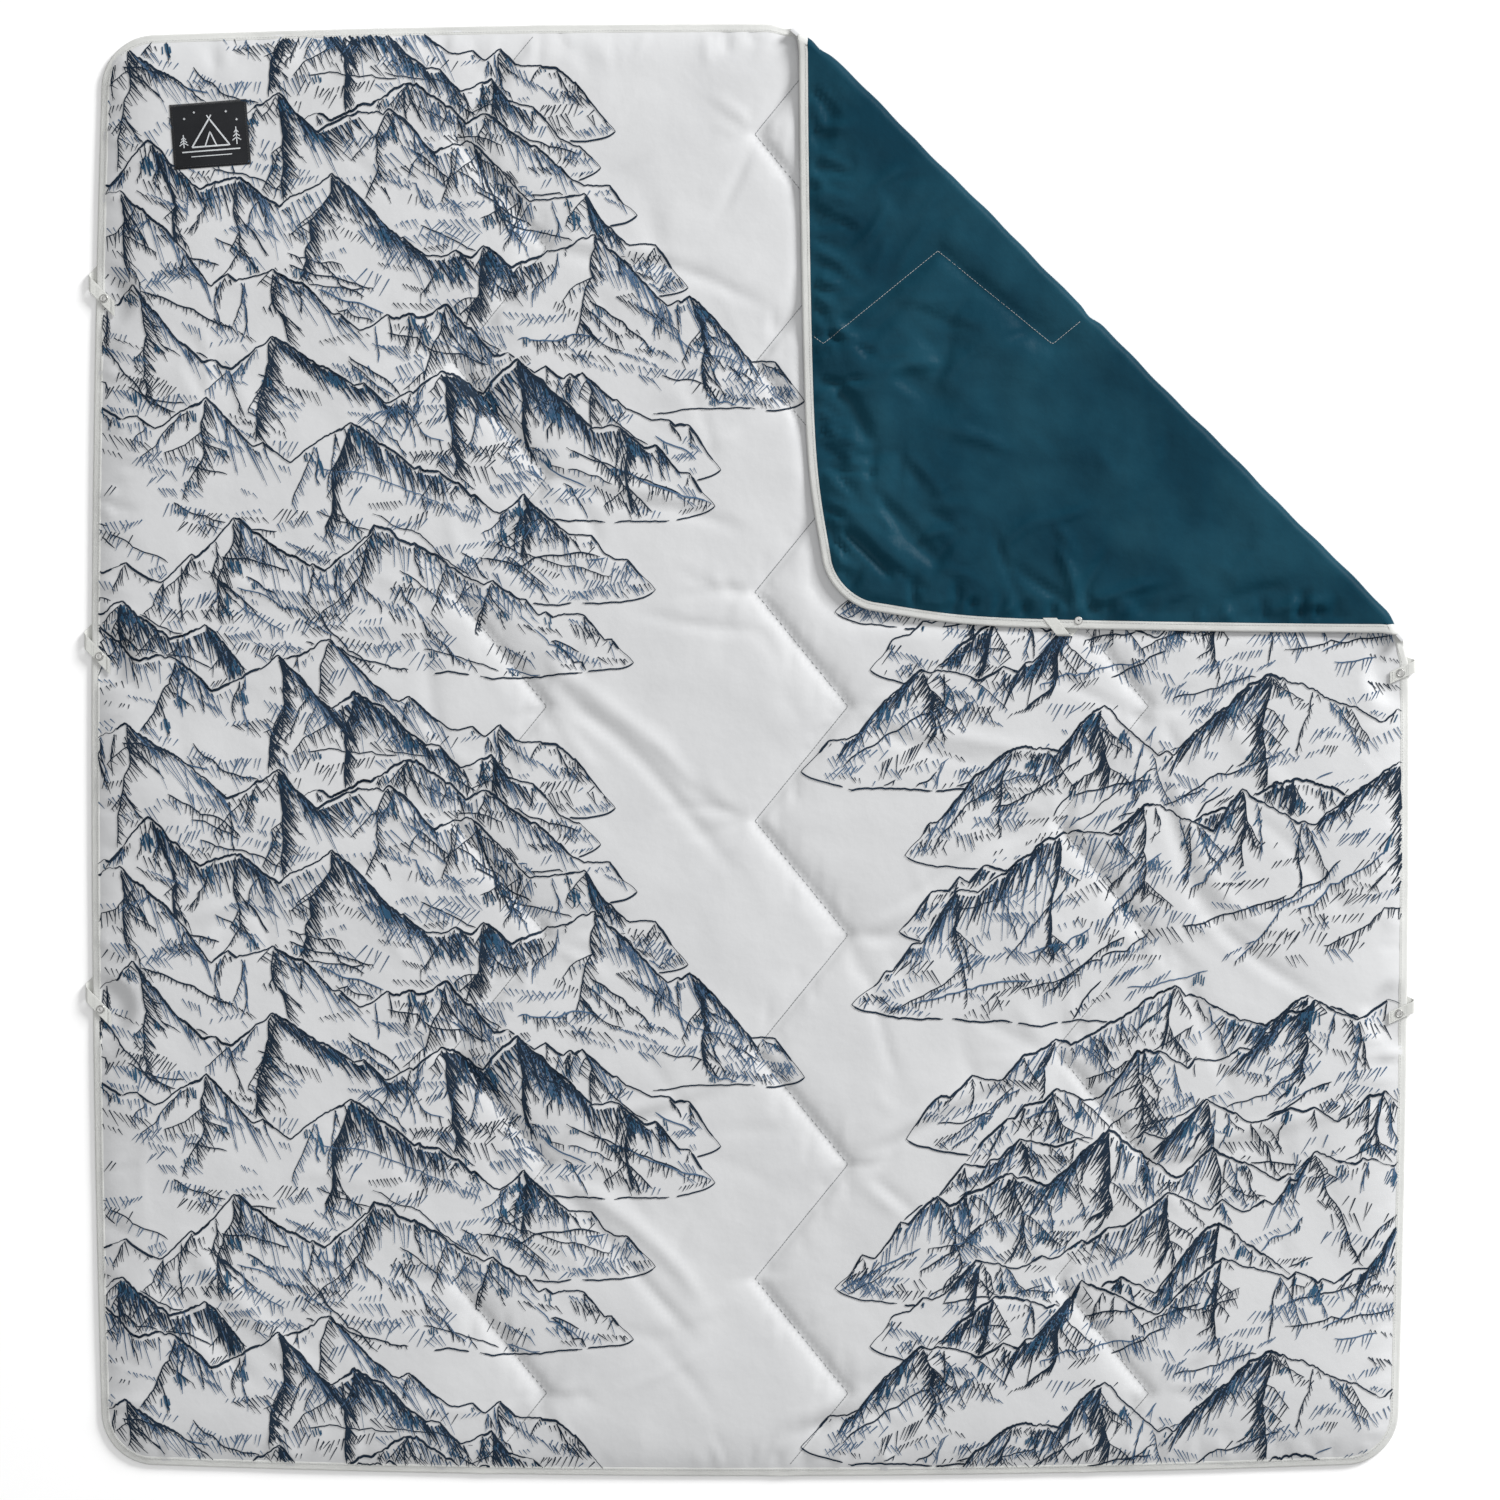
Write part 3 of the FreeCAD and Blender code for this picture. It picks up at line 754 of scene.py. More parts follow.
def finish_piece(obj, material, body=None, replaces=()):
    mats = [material] if isinstance(material, str) else material
    for key in mats:
        obj.data.materials.append(MATS[key])
    if replaces:
        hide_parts(*replaces)
    if body:
        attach(obj, body)
    return obj


# ---- the cloths -----------------------------------------------------------------------------
FACE = face_field()
BACK = back_field()
FLAP, UNDER = flap_field()


def room(inside, inset, before_fold):
    """How far a point lies from both limits of a cloth: its outline and the fold."""
    def least(x, y):
        return np.minimum(inside(x, y) - inset, -past_fold(x, y) - before_fold)
    return least


def build_cloths():
    face = cloth_surface("face_cloth", FACE, room(edge_distance, TUCK, FACE_STOP))
    back = cloth_surface("back_cloth", BACK, room(edge_distance, TUCK, ROLL_R), face_up=False, step=2)
    flap = cloth_surface("corner_back_cloth", FLAP, room(flap_distance, TUCK, ROLL_R))
    under = cloth_surface("corner_face_cloth", UNDER, room(flap_distance, TUCK, FACE_STOP), face_up=False)
    finish_piece(face, "face", "blanket", ["face_shell"])
    finish_piece(back, "teal", "blanket", ["back_shell"])
    finish_piece(flap, "teal", "folded_corner", ["corner_back_shell"])
    finish_piece(under, "face", "folded_corner", ["corner_face_shell"])


# ---- the folded edge ------------------------------------------------------------------------
# Points near the fold are given by t, along the folded edge, and u, out past it.
def from_fold(t, u):
    return (FOLD_SUM + u * ROOT2 - t * ROOT2) / 2, (FOLD_SUM + u * ROOT2 + t * ROOT2) / 2


def fold_end(u, inset, end):
    """The t at which a line parallel to the fold meets the outline less an inset."""
    low, high = 0.0, FOLD_REACH
    for _ in range(40):
        mid = (low + high) / 2
        x, y = from_fold(end * mid, u)
        if edge_distance(x, y) > inset:
            low = mid
        else:
            high = mid
    return end * low


PINCHES = (615.0, 91.0)                          # where stitching crosses the folded edge


def roll_bulge(t):
    """How far the roll reaches out past the lines where it meets the flat cloth."""
    bulge = ROLL_R + 0.8 * math.sin(t / 37) + 0.5 * math.sin(t / 11.3 + 1)
    for place in PINCHES:
        bulge -= 4.5 * math.exp(-((t - place) / 13) ** 2)
    return bulge


def roll_point(t, phi, off):
    """A point on the roll; phi runs from -90 degrees on the ground to 90 on top."""
    x, y = from_fold(t, -ROLL_R)
    low, high = BACK.at(x, y), FLAP.at(x, y)
    u = -ROLL_R + (roll_bulge(t) + off) * math.cos(phi)
    z = (low + high) / 2 + ((high - low) / 2 + off) * math.sin(phi)
    px, py = from_fold(t, u)
    return np.array([float(px), float(py), float(z)])


def roll_u(phi):
    """Where the roll's cloth lies when the blanket is flat."""
    return ROLL_R * phi / (math.pi / 2)


ROLL_STEPS = [math.radians(a) for a in np.linspace(-90, 90, 19)]
FOLD_X, FOLD_Y = from_fold(0, 0)
FOLD_START = (FOLD_X * MM, FOLD_Y * MM, 0.0)
FOLD_END = (FOLD_X * MM, FOLD_Y * MM, 2 * FOLD_Z * MM)


def roll_sheet(name, off, inset, count, closed=False):
    """A sheet round the roll, raised by off and ending inset from the outline."""
    rings = []
    for s in np.linspace(0, 1, count):
        ring = []
        for phi in ROLL_STEPS:
            first = fold_end(roll_u(phi), inset, 1)
            last = fold_end(roll_u(phi), inset, -1)
            ring.append(roll_point(first + (last - first) * s, phi, off))
        rings.append(ring)
    return strip_mesh(name, rings, closed)


def build_roll():
    cloth = roll_sheet("fold_cloth", 0.0, TUCK, 220)
    filling = roll_sheet("fold_filling", -0.4, 20.0, 120, closed=True)
    finish_piece(cloth, "teal", replaces=["fold_back_shell"])
    finish_piece(filling, "batting", replaces=["fold_insulation"])
    for piece in (cloth, filling):
        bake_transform(piece, "blanket", "folded_corner", FOLD_START, FOLD_END)
    build_fold_lining()


def build_fold_lining():
    """The printed face's cloth where it turns inside the fold."""
    rings = []
    root = -FACE_STOP - 1.0                          # where the strip leaves the two flat cloths
    first, last = fold_end(-FACE_STOP, TUCK, 1), fold_end(-FACE_STOP, TUCK, -1)
    for t in np.linspace(first, last, 220):
        x, y = from_fold(t, root)
        low, high = float(FACE.at(x, y)), float(UNDER.at(x, y))
        mid, half = (low + high) / 2, (high - low) / 2
        turn = roll_bulge(t) - ROLL_R - 0.9
        upper = ((turn - 0.2, 0.45), (turn - 1.2, 0.85), (turn - 3.0, 1.0), (root + 2.0, 1.0), (root, 1.0))
        bend = [(u, -share) for u, share in upper[::-1]] + [(turn, 0.0)] + list(upper)
        rings.append([(*from_fold(t, u), mid + half * share) for u, share in bend])
    lining = strip_mesh("fold_face_cloth", rings)
    finish_piece(lining, "face")
    x, y = from_fold(0, root)
    low, high = float(FACE.at(x, y)) * MM, float(UNDER.at(x, y)) * MM
    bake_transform(lining, "blanket", "folded_corner", (*FOLD_START[:2], low), (*FOLD_START[:2], high))


# ---- batting --------------------------------------------------------------------------------
def extreme_nearby(z, reach, pick):
    out = z.copy()
    for di in range(-reach, reach + 1):
        for dj in range(-reach, reach + 1):
            out = pick(out, np.roll(np.roll(z, di, 0), dj, 1))
    return out


def batting_block(name, top_field, low_field, room):
    """A loose slab that stays between two cloths."""
    step = 3
    top = extreme_nearby(top_field.z, step, np.minimum) - 1.2
    low = extreme_nearby(low_field.z, step, np.maximum) + 0.6
    low = np.minimum(low, top - 0.3)
    X, Y = top_field.X[::step, ::step], top_field.Y[::step, ::step]
    top, low = top[::step, ::step], low[::step, ::step]
    cells, used, index = grid_cells(room(X, Y) > 0)
    n = int(used.sum())
    verts = np.vstack([np.column_stack([X[used], Y[used], top[used]]),
                       np.column_stack([X[used], Y[used], low[used]])])
    faces = []
    for i, j in zip(*np.nonzero(cells)):
        quad = [index[i, j], index[i + 1, j], index[i + 1, j + 1], index[i, j + 1]]
        faces.append(quad)
        faces.append([q + n for q in quad[::-1]])
        sides = ((i, j - 1, quad[0], quad[1]), (i + 1, j, quad[1], quad[2]),
                 (i, j + 1, quad[2], quad[3]), (i - 1, j, quad[3], quad[0]))
        for a, b, p, q in sides:
            inside_grid = 0 <= a < cells.shape[0] and 0 <= b < cells.shape[1]
            if not (inside_grid and cells[a, b]):
                faces.append([p, p + n, q + n, q])
    return new_mesh(name, verts, faces)


def build_batting():
    main = batting_block("batting", FACE, BACK, room(edge_distance, 20, ROLL_R + 2))
    corner = batting_block("corner_batting", FLAP, UNDER, room(flap_distance, 26, ROLL_R + 2))
    finish_piece(main, "batting", "blanket", ["insulation"])
    finish_piece(corner, "batting", "folded_corner", ["corner_insulation"])


# ---- binding tape ---------------------------------------------------------------------------
# One section of the tape as (inset, side, lift off the cloth); side 1 is the printed face and -1
# the plain back.
TAPE_TURN = 3.4                                  # how far in the tape's rounded edge reaches
TAPE_SECTION = [(TAPE_W, 1, 0.05), (TAPE_W - 0.5, 1, 0.5), (0.75 * TAPE_W, 1, 0.5), (0.5 * TAPE_W, 1, 0.5)]
TAPE_SECTION += [(TAPE_TURN * (1 - math.cos(math.radians(a))), math.sin(math.radians(a)), 0.5)
                 for a in range(80, -81, -20)]
TAPE_SECTION += [(0.5 * TAPE_W, -1, 0.35), (0.75 * TAPE_W, -1, 0.35), (TAPE_W, -1, 0.35)]


def tape_z(x, y, side, lift, face, back):
    """Height of the tape's surface over a point; face and back are the two cloths."""
    up = 1 if face is FACE else -1
    back_lift = min(lift, 0.35) if up > 0 else 2.5 * lift
    over, under = face.at(x, y) + up * lift, back.at(x, y) - up * back_lift
    return under + (over - under) * (side + 1) / 2


def tape_ring(point, normal, fold, face, back):
    ring = []
    for inset, side, lift in TAPE_SECTION:
        x, y = point - normal * inset
        sx, sy = point - normal * max(inset, TUCK)
        if fold:
            (x, y), (sx, sy) = mirrored(x, y), mirrored(sx, sy)
        ring.append((x, y, float(tape_z(sx, sy, side, lift, face, back))))
    return ring


def tape_cut(end, fold, face, back):
    """The tape's section where it meets the roll."""
    ring = []
    u = ROLL_R if fold else -ROLL_R
    for inset, side, lift in TAPE_SECTION:
        x, y = from_fold(fold_end(u, inset, end), u)
        sx, sy = from_fold(fold_end(u, max(inset, TUCK), end), u)
        if fold:
            (x, y), (sx, sy) = mirrored(x, y), mirrored(sx, sy)
        ring.append((float(x), float(y), float(tape_z(sx, sy, side, lift, face, back))))
    return ring


def roll_tape_ring(end, phi):
    ring = []
    share = (phi + math.pi / 2) / math.pi
    for inset, side, lift in TAPE_SECTION:
        t = fold_end(roll_u(phi), inset, end)
        st = fold_end(roll_u(phi), max(inset, TUCK), end)
        x, y = from_fold(st, -ROLL_R)
        start = BACK.at(x, y) - FACE.at(x, y) - lift
        stop = UNDER.at(x, y) - lift - FLAP.at(x, y)
        inner = (start + (stop - start) * share) * (1 - 0.55 * math.cos(phi))
        outer = min(lift, 0.35) + 0.55 * share
        off = float(outer + (inner - outer) * (side + 1) / 2)
        p = roll_point(st, phi, off)
        along = float(t - st) / ROOT2
        ring.append((p[0] - along, p[1] + along, p[2]))
    return ring


def stitches(paths, pitch, length, width, height):
    """Small sewn stitches along polylines of 3-D points in mm, as (verts, faces)."""
    verts, faces = [], []
    rings = ((-0.5, 0.35), (-0.2, 1.0), (0.2, 1.0), (0.5, 0.35))
    for path in paths:
        path = np.asarray(path, float)
        if len(path) < 2:
            continue
        run = np.r_[0, np.cumsum(np.linalg.norm(np.diff(path, axis=0), axis=1))]
        for s in np.arange(pitch, run[-1] - pitch / 2, pitch):
            ends = [np.array([np.interp(s + e, run, path[:, k]) for k in range(3)])
                    for e in (-length / 2, length / 2)]
            along = ends[1] - ends[0]
            across = np.array([-along[1], along[0], 0.0])
            across = across / max(np.linalg.norm(across), 1e-6) * width / 2
            up = np.array([0, 0, height / 2])
            middle = (ends[0] + ends[1]) / 2
            base = len(verts)
            for f, size in rings:
                c = middle + along * f
                verts += [c + across * size, c + up * size, c - across * size, c - up * size]
            for k in range(3):
                a = base + 4 * k
                for j in range(4):
                    faces.append((a + j, a + (j + 1) % 4, a + 4 + (j + 1) % 4, a + 4 + j))
            faces.append((base + 3, base + 2, base + 1, base))
            faces.append((base + 12, base + 13, base + 14, base + 15))
    return np.array(verts), faces


def row_on(rings, column, lift):
    """The line through one place of the tape's section, raised a little."""
    return np.array(rings)[:, column] + np.array([0, 0, lift])


def build_tapes():
    pts, nrm = outline_points(5.5)
    past = past_fold(pts[:, 0], pts[:, 1])
    order = np.arange(len(pts))
    folded = order[past > ROLL_R + 4]
    flat = order[past < -ROLL_R - 4]
    start = np.argmax(flat > folded[-1])
    flat = np.r_[flat[start:], flat[:start]]
    main = [tape_cut(1, False, FACE, BACK)]
    main += [tape_ring(pts[k], nrm[k], False, FACE, BACK) for k in flat]
    main += [tape_cut(-1, False, FACE, BACK)]
    corner = [tape_cut(-1, True, UNDER, FLAP)]
    corner += [tape_ring(pts[k], nrm[k], True, UNDER, FLAP) for k in folded]
    corner += [tape_cut(1, True, UNDER, FLAP)]
    rolls = [[roll_tape_ring(end, phi) for phi in ROLL_STEPS] for end in (1, -1)]
    edge = strip_mesh("edge_tape", main)
    finish_piece(edge, "tape", "blanket", ["edge_binding"])
    fold = strip_mesh("corner_tape", corner)
    finish_piece(fold, "tape", "folded_corner", ["corner_binding"])
    ends = join_meshes("fold_tape", [strip_parts(rings) for rings in rolls])
    finish_piece(ends, "tape", replaces=["fold_binding"])
    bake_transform(ends, "blanket", "folded_corner", FOLD_START, FOLD_END)
    for name, rings, lift, body, node in (
            ("edge_stitches", main, 0.1, "blanket", "binding_stitching"),
            ("corner_stitches", corner, -0.1, "folded_corner", "corner_binding_stitching")):
        rows = [row_on(rings, 2, lift), row_on(rings, -2, -lift)]
        finish_piece(new_mesh(name, *stitches(rows, 4.0, 2.9, 0.75, 0.45)), "thread", body, [node])


# ---- quilting thread ------------------------------------------------------------------------
def seam_path(centre):
    """One zigzag seam from end to end of the flat blanket."""
    half = SEAM_PITCH / 2
    points = np.array([(centre + (1 if i % 2 == 0 else -1) * SEAM_SWING, SEAM_RIGHT_Y + i * half)
                       for i in range(-8, 8)])
    share = np.linspace(0, 1, 60, endpoint=False)[:, None]
    return np.vstack([a + (b - a) * share for a, b in zip(points[:-1], points[1:])])


def runs_of(points, keep):
    """The unbroken runs of points that are kept."""
    runs, run = [], []
    for p, ok in zip(points, keep):
        if ok:
            run.append(p)
        elif run:
            runs.append(np.array(run))
            run = []
    return runs + ([np.array(run)] if run else [])


def build_quilting():
    flat_rows, corner_rows = [], []
    on_flat = room(edge_distance, TAPE_W + 1, ROLL_R + 1)
    on_flap = room(flap_distance, TAPE_W + 1, ROLL_R + 1)
    for centre in SEAM_X:
        path = seam_path(centre)
        folded = np.column_stack(flap_seam(*path.T))
        for points, limit, rows, cloths in ((path, on_flat, flat_rows, ((FACE, 0.25), (BACK, -0.2))),
                                            (folded, on_flap, corner_rows, ((FLAP, 0.2), (UNDER, -0.2)))):
            for run in runs_of(points, limit(*points.T) > 0):
                rows += [np.column_stack([run, cloth.at(*run.T) + lift]) for cloth, lift in cloths]
    # The face's seam stitches carry the darkened thread, painted shade for each seam's crease; they are long
    # and wide so that they read as one line.
    obj = new_mesh("seam_stitches", *stitches(flat_rows, 4.6, 4.3, 1.1, 0.6))
    finish_piece(obj, "seam_thread", "blanket", ["quilt_stitching"])
    obj = new_mesh("corner_seam_stitches", *stitches(corner_rows, 4.6, 4.0, 0.8, 0.9))
    finish_piece(obj, "thread", "folded_corner", ["corner_quilt_stitching"])


# ---- label ----------------------------------------------------------------------------------
LABEL_MID = sum(np.array(v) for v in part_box("label_patch"))[:2] / 2 / MM
LABEL_W, LABEL_H, LABEL_TURN = 106.0, 90.0, math.radians(4.5)


def on_label(a, b, lift):
    """A place on the label, a across and b up from its middle, as a point in mm."""
    c, s = math.cos(LABEL_TURN), math.sin(LABEL_TURN)
    x, y = LABEL_MID[0] + a * c - b * s, LABEL_MID[1] + a * s + b * c
    return np.column_stack([x, y, FACE.at(x, y) + lift])


def label_line(points, width, lift=1.3):
    """A woven line on the label, as a thin ribbon."""
    pts = np.array(points, float)
    dense = [pts[0]]
    for a, b in zip(pts[:-1], pts[1:]):
        n = max(1, int(np.hypot(*(b - a)) / 3))
        dense += [a + (b - a) * k / n for k in range(1, n + 1)]
    pts = np.array(dense)
    way = np.gradient(pts, axis=0)
    way /= np.maximum(np.hypot(*way.T), 1e-9)[:, None]
    side = np.column_stack([-way[:, 1], way[:, 0]]) * width / 2
    left, right = pts + side, pts - side
    verts = np.vstack([on_label(left[:, 0], left[:, 1], lift), on_label(right[:, 0], right[:, 1], lift)])
    n = len(pts)
    return verts, [(k, n + k, n + k + 1, k + 1) for k in range(n - 1)]


def label_motif():
    """A tent, two pines, the ground and four stars, as (points, width)."""
    lines = [(((-26, -16), (0, 22), (26, -16), (-26, -16)), 2.2),
             (((-8, -16), (0, 4), (8, -16)), 1.8),
             (((0, 22), (-3, 27)), 1.6),
             (((0, 22), (3, 27)), 1.6),
             (((-40, -22), (40, -22)), 1.8),
             (((-28, -29), (28, -29)), 1.2)]
    for x, foot, tall in ((36, -16, 24), (-37, -16, 18)):
        lines.append((((x, foot), (x, foot + tall)), 1.4))
        for k in range(3):
            y = foot + tall * (0.4 + 0.22 * k)
            w = 6 - 1.5 * k
            lines.append((((x - w, y - 4), (x, y), (x + w, y - 4)), 1.3))
    for a, b in ((-34, 24), (-20, 32), (24, 30), (38, 18)):
        lines.append((((a - 1.6, b), (a + 1.6, b)), 1.0))
        lines.append((((a, b - 1.6), (a, b + 1.6)), 1.0))
    return lines


def build_label():
    na, nb = 24, 20
    half_w, half_h = LABEL_W / 2, LABEL_H / 2
    A, B = np.meshgrid(np.linspace(-half_w, half_w, na), np.linspace(-half_h, half_h, nb), indexing="ij")
    top, low = on_label(A.ravel(), B.ravel(), 0.95), on_label(A.ravel(), B.ravel(), 0.2)
    index = np.arange(na * nb).reshape(na, nb)
    quads = [(index[i, j], index[i + 1, j], index[i + 1, j + 1], index[i, j + 1])
             for i in range(na - 1) for j in range(nb - 1)]
    faces = quads + [tuple(q + na * nb for q in f[::-1]) for f in quads]
    rim = list(index[:, 0]) + list(index[-1, 1:]) + list(index[-2::-1, -1]) + list(index[0, -2:0:-1])
    for p, q in zip(rim, rim[1:] + rim[:1]):
        faces.append((p, p + na * nb, q + na * nb, q))
    patch = new_mesh("label", np.vstack([top, low]), faces)
    finish_piece(patch, "label", "blanket", ["label_patch"])
    art = join_meshes("label_art", [label_line(*line) for line in label_motif()])
    finish_piece(art, "label_art", "blanket")
    a, b = half_w - 3, half_h - 3
    corners = ((-a, -b), (a, -b), (a, b), (-a, b), (-a, -b))
    rows = []
    for p, q in zip(corners[:-1], corners[1:]):
        s = np.linspace(0, 1, 30)
        rows.append(on_label(p[0] + (q[0] - p[0]) * s, p[1] + (q[1] - p[1]) * s, 1.15))
    sewn = new_mesh("label_stitches", *stitches(rows, 3.4, 2.5, 0.7, 0.4))
    finish_piece(sewn, "thread_dark", "blanket", ["label_stitching"])


# ---- snap tabs ------------------------------------------------------------------------------
TAB_HALF_W, TAB_T = 7.5, 1.0
LOOP_R, LOOP_Z, LOOP_REACH = 3.6, 4.3, 9.5
ROOT_INSET, TIP_INSET, SNAP_INSET = 15.0, 26.0, 11.5
HEM = 4.5
TAB_SECTION = ((-1, 0.6), (-0.9, 1), (0.9, 1), (1, 0.6), (1, -0.6), (0.9, -1), (-0.9, -1), (-1, -0.6))


def tab_stations():
    """The tab's middle line as (inset, z, normal inset, normal z, run); run 0 is the loop's end."""
    centre = LOOP_R - LOOP_REACH
    quarter = LOOP_R * math.pi / 2
    out = []
    for inset in np.linspace(ROOT_INSET, centre, 7)[:-1]:
        out.append((inset, LOOP_Z - LOOP_R, 0.0, -1.0, -quarter - (inset - centre)))
    for turn in np.linspace(-90, 90, 19):
        c, s = math.cos(math.radians(turn)), math.sin(math.radians(turn))
        out.append((centre - LOOP_R * c, LOOP_Z + LOOP_R * s, -c, s, quarter * turn / 90))
    for inset in np.linspace(centre, TIP_INSET, 15)[1:]:
        droop = 0.5 * smooth((inset - 17) / 9)
        out.append((inset, LOOP_Z + LOOP_R + 0.12 - droop, 0.0, 1.0, quarter + inset - centre))
    return out


def tab_parts(climb, place):
    """The tab's tape, its hem and its stitching, set in the blanket by a placing function."""
    stations = tab_stations()
    quarter = LOOP_R * math.pi / 2
    snap_run = quarter + SNAP_INSET - (LOOP_R - LOOP_REACH)
    stretch = math.sqrt(1 + climb * climb)
    half = TAB_HALF_W * stretch

    def solid(rows, thick, rise):
        rings = []
        for u, z, nu, nz, run in rows:
            middle = (snap_run - run) * climb
            ring = []
            for across, up in TAB_SECTION:
                h = rise + up * thick / 2
                ring.append(place(u + nu * h, middle + across * half, z + nz * h))
            rings.append(ring)
        return strip_parts(rings, closed=True)

    hem_rows = [(TIP_INSET - HEM * k / 3, stations[-1][1], 0.0, 1.0, stations[-1][4] - HEM * k / 3)
                for k in range(4)]
    parts = [solid(stations, TAB_T, 0.0), solid(hem_rows, 0.8, 0.85)]
    rows = []
    for inset, lift in ((TIP_INSET - HEM + 1.2, 1.35), (1.0, 0.65), (3.6, 0.65)):
        run = quarter + inset - (LOOP_R - LOOP_REACH)
        z = np.interp(run, [r[4] for r in stations], [r[1] for r in stations])
        middle = (snap_run - run) * climb
        rows.append([place(inset, middle + a * half * 0.88, z + lift) for a in np.linspace(-1, 1, 8)])
    sewn = stitches(rows, 2.2, 1.7, 0.55, 0.35)
    return parts, sewn


def lathe(profile, centre, flip=False, segments=40):
    """A turned piece from (radius, z) pairs about an upright axis."""
    turns = 2 * math.pi * np.arange(segments) / segments
    verts = [(centre[0] + r * math.cos(a), centre[1] + r * math.sin(a), centre[2] + z)
             for r, z in profile for a in turns]
    faces = []
    m = segments
    for i in range(len(profile) - 1):
        for k in range(m):
            quad = (i * m + k, i * m + (k + 1) % m, (i + 1) * m + (k + 1) % m, (i + 1) * m + k)
            faces.append(quad[::-1] if flip else quad)
    faces.append(tuple(range(m))[::-1])
    faces.append(tuple(range((len(profile) - 1) * m, len(profile) * m)))
    return np.array(verts), faces


# Sections of a snap's four parts, as (radius, height above the ground) in mm.
CAP_PROFILE = ((1.3, 7.5), (1.3, 8.56), (5.5, 8.56), (5.8, 8.8), (5.75, 9.3), (5.3, 9.72), (4.7, 9.85),
               (4.3, 9.7), (4.0, 9.5), (2.5, 9.72), (0.9, 9.85))
SOCKET_PROFILE = ((4.4, 6.9), (4.4, 5.6), (5.1, 5.6), (5.3, 5.9), (5.3, 7.1), (5.0, 7.4), (0.4, 7.4))
STUD_PROFILE = ((1.4, 1.25), (1.4, 5.1), (3.6, 5.1), (4.0, 5.4), (4.0, 6.1), (3.4, 6.5), (0.4, 6.5))
POST_PROFILE = ((0.9, 0.1), (2.6, 0.13), (4.0, 0.30), (4.4, 0.16), (5.0, 0.16), (5.5, 0.5), (5.5, 1.0),
                (5.2, 1.25), (1.3, 1.25))


def snap_piece(name, profile, centre, body, node, over=None):
    """One turned part of a snap; over is the height from which an upside-down snap hangs."""
    pts = [(r, (over - z) if over is not None else z) for r, z in profile]
    obj = new_mesh(name, *lathe(pts, centre, flip=over is not None))
    finish_piece(obj, "metal", body, [node])


def edge_x(y):
    """Where the blanket's right side edge lies at a height along it."""
    return SIDE_C[0] + math.sqrt(SIDE_R ** 2 - y * y)


def tab_strap(name, climb, place, body, nodes):
    """The looped tape of one tab with its stitches, flat shaded."""
    parts, sewn = tab_parts(climb, place)
    strap = join_meshes(name, parts + [sewn])
    finish_piece(strap, ["tab", "thread"], body, nodes)
    polygons = strap.data.polygons
    polygons.foreach_set("use_smooth", np.zeros(len(polygons), bool))
    tape_faces = sum(len(faces) for _, faces in parts)
    polygons.foreach_set("material_index", (np.arange(len(polygons)) >= tape_faces).astype(np.int32))
    return strap


def build_tabs():
    for name, (side, y, climb) in TABS.items():
        edge = side * edge_x(y)

        def place(inset, along, z, edge=edge, side=side, y=y):
            return (edge - side * inset, y + along, z)

        nodes = [f"tab_root_{name}", f"tab_strap_{name}"]
        strap = tab_strap(f"tab_{name}", climb, place, None, nodes)
        apex = (edge + side * LOOP_REACH) * MM
        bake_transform(strap, "blanket", f"tab_{name}", (apex, y * MM, 3.8 * MM), (apex, y * MM, 4.8 * MM))
        centre = (edge - side * SNAP_INSET, y, 0.0)
        snap_piece(f"cap_{name}", CAP_PROFILE, centre, f"tab_{name}", f"snap_cap_{name}")
        snap_piece(f"socket_{name}", SOCKET_PROFILE, centre, f"tab_{name}", f"snap_socket_{name}")
        snap_piece(f"stud_{name}", STUD_PROFILE, centre, "blanket", f"snap_stud_{name}")
        snap_piece(f"post_{name}", POST_PROFILE, centre, "blanket", f"snap_post_cap_{name}")


def build_corner_tab():
    """The sixth tab sits on the folded corner, upside down."""
    y, climb = 617.0, 0.8
    edge = edge_x(y)
    cx, cy = mirrored(edge - SNAP_INSET, y)
    over = float(FLAP.at(cx, cy)) + 0.5 + 1.25

    def place(inset, along, z):
        x, yy = mirrored(edge - inset, y + along)
        return (x, yy, over - z)

    tab_strap("corner_tab_tape", climb, place, "folded_corner", ["corner_tab"])
    centre = (cx, cy, 0.0)
    for name, profile in (("cap", CAP_PROFILE), ("socket", SOCKET_PROFILE), ("stud", STUD_PROFILE),
                          ("post", POST_PROFILE)):
        node = "corner_snap_post_cap" if name == "post" else f"corner_snap_{name}"
        snap_piece(f"corner_{name}", profile, centre, "folded_corner", node, over=over)


# ---- the printed mountains ------------------------------------------------------------------
# Line-drawn ranges run in from both side edges and end in points over the plain middle band;
# each side repeats down the blanket. A stroke is (points in mm, width in mm, tone, taper).
PERIOD = 930.0
CELL = 3.0
INK, BLUE, HATCH = 0, 1, 2
PRINT_W, PRINT_L = HALF_W, HALF_L
MARGIN_X, MARGIN_Y = 40, 160                     # the map of what is drawn reaches past the blanket


def fractal(rng, n, rough=0.55, steps=5):
    """A wandering profile of n values, about -1 to 1, from a few octaves of noise."""
    x = np.linspace(0, 1, n)
    total = np.zeros(n)
    size, amp = 6, 1.0
    for _ in range(steps):
        knots = rng.uniform(-1, 1, size + 1)
        total += amp * np.interp(x * size, np.arange(size + 1), knots)
        size *= 2
        amp *= rough
    return total


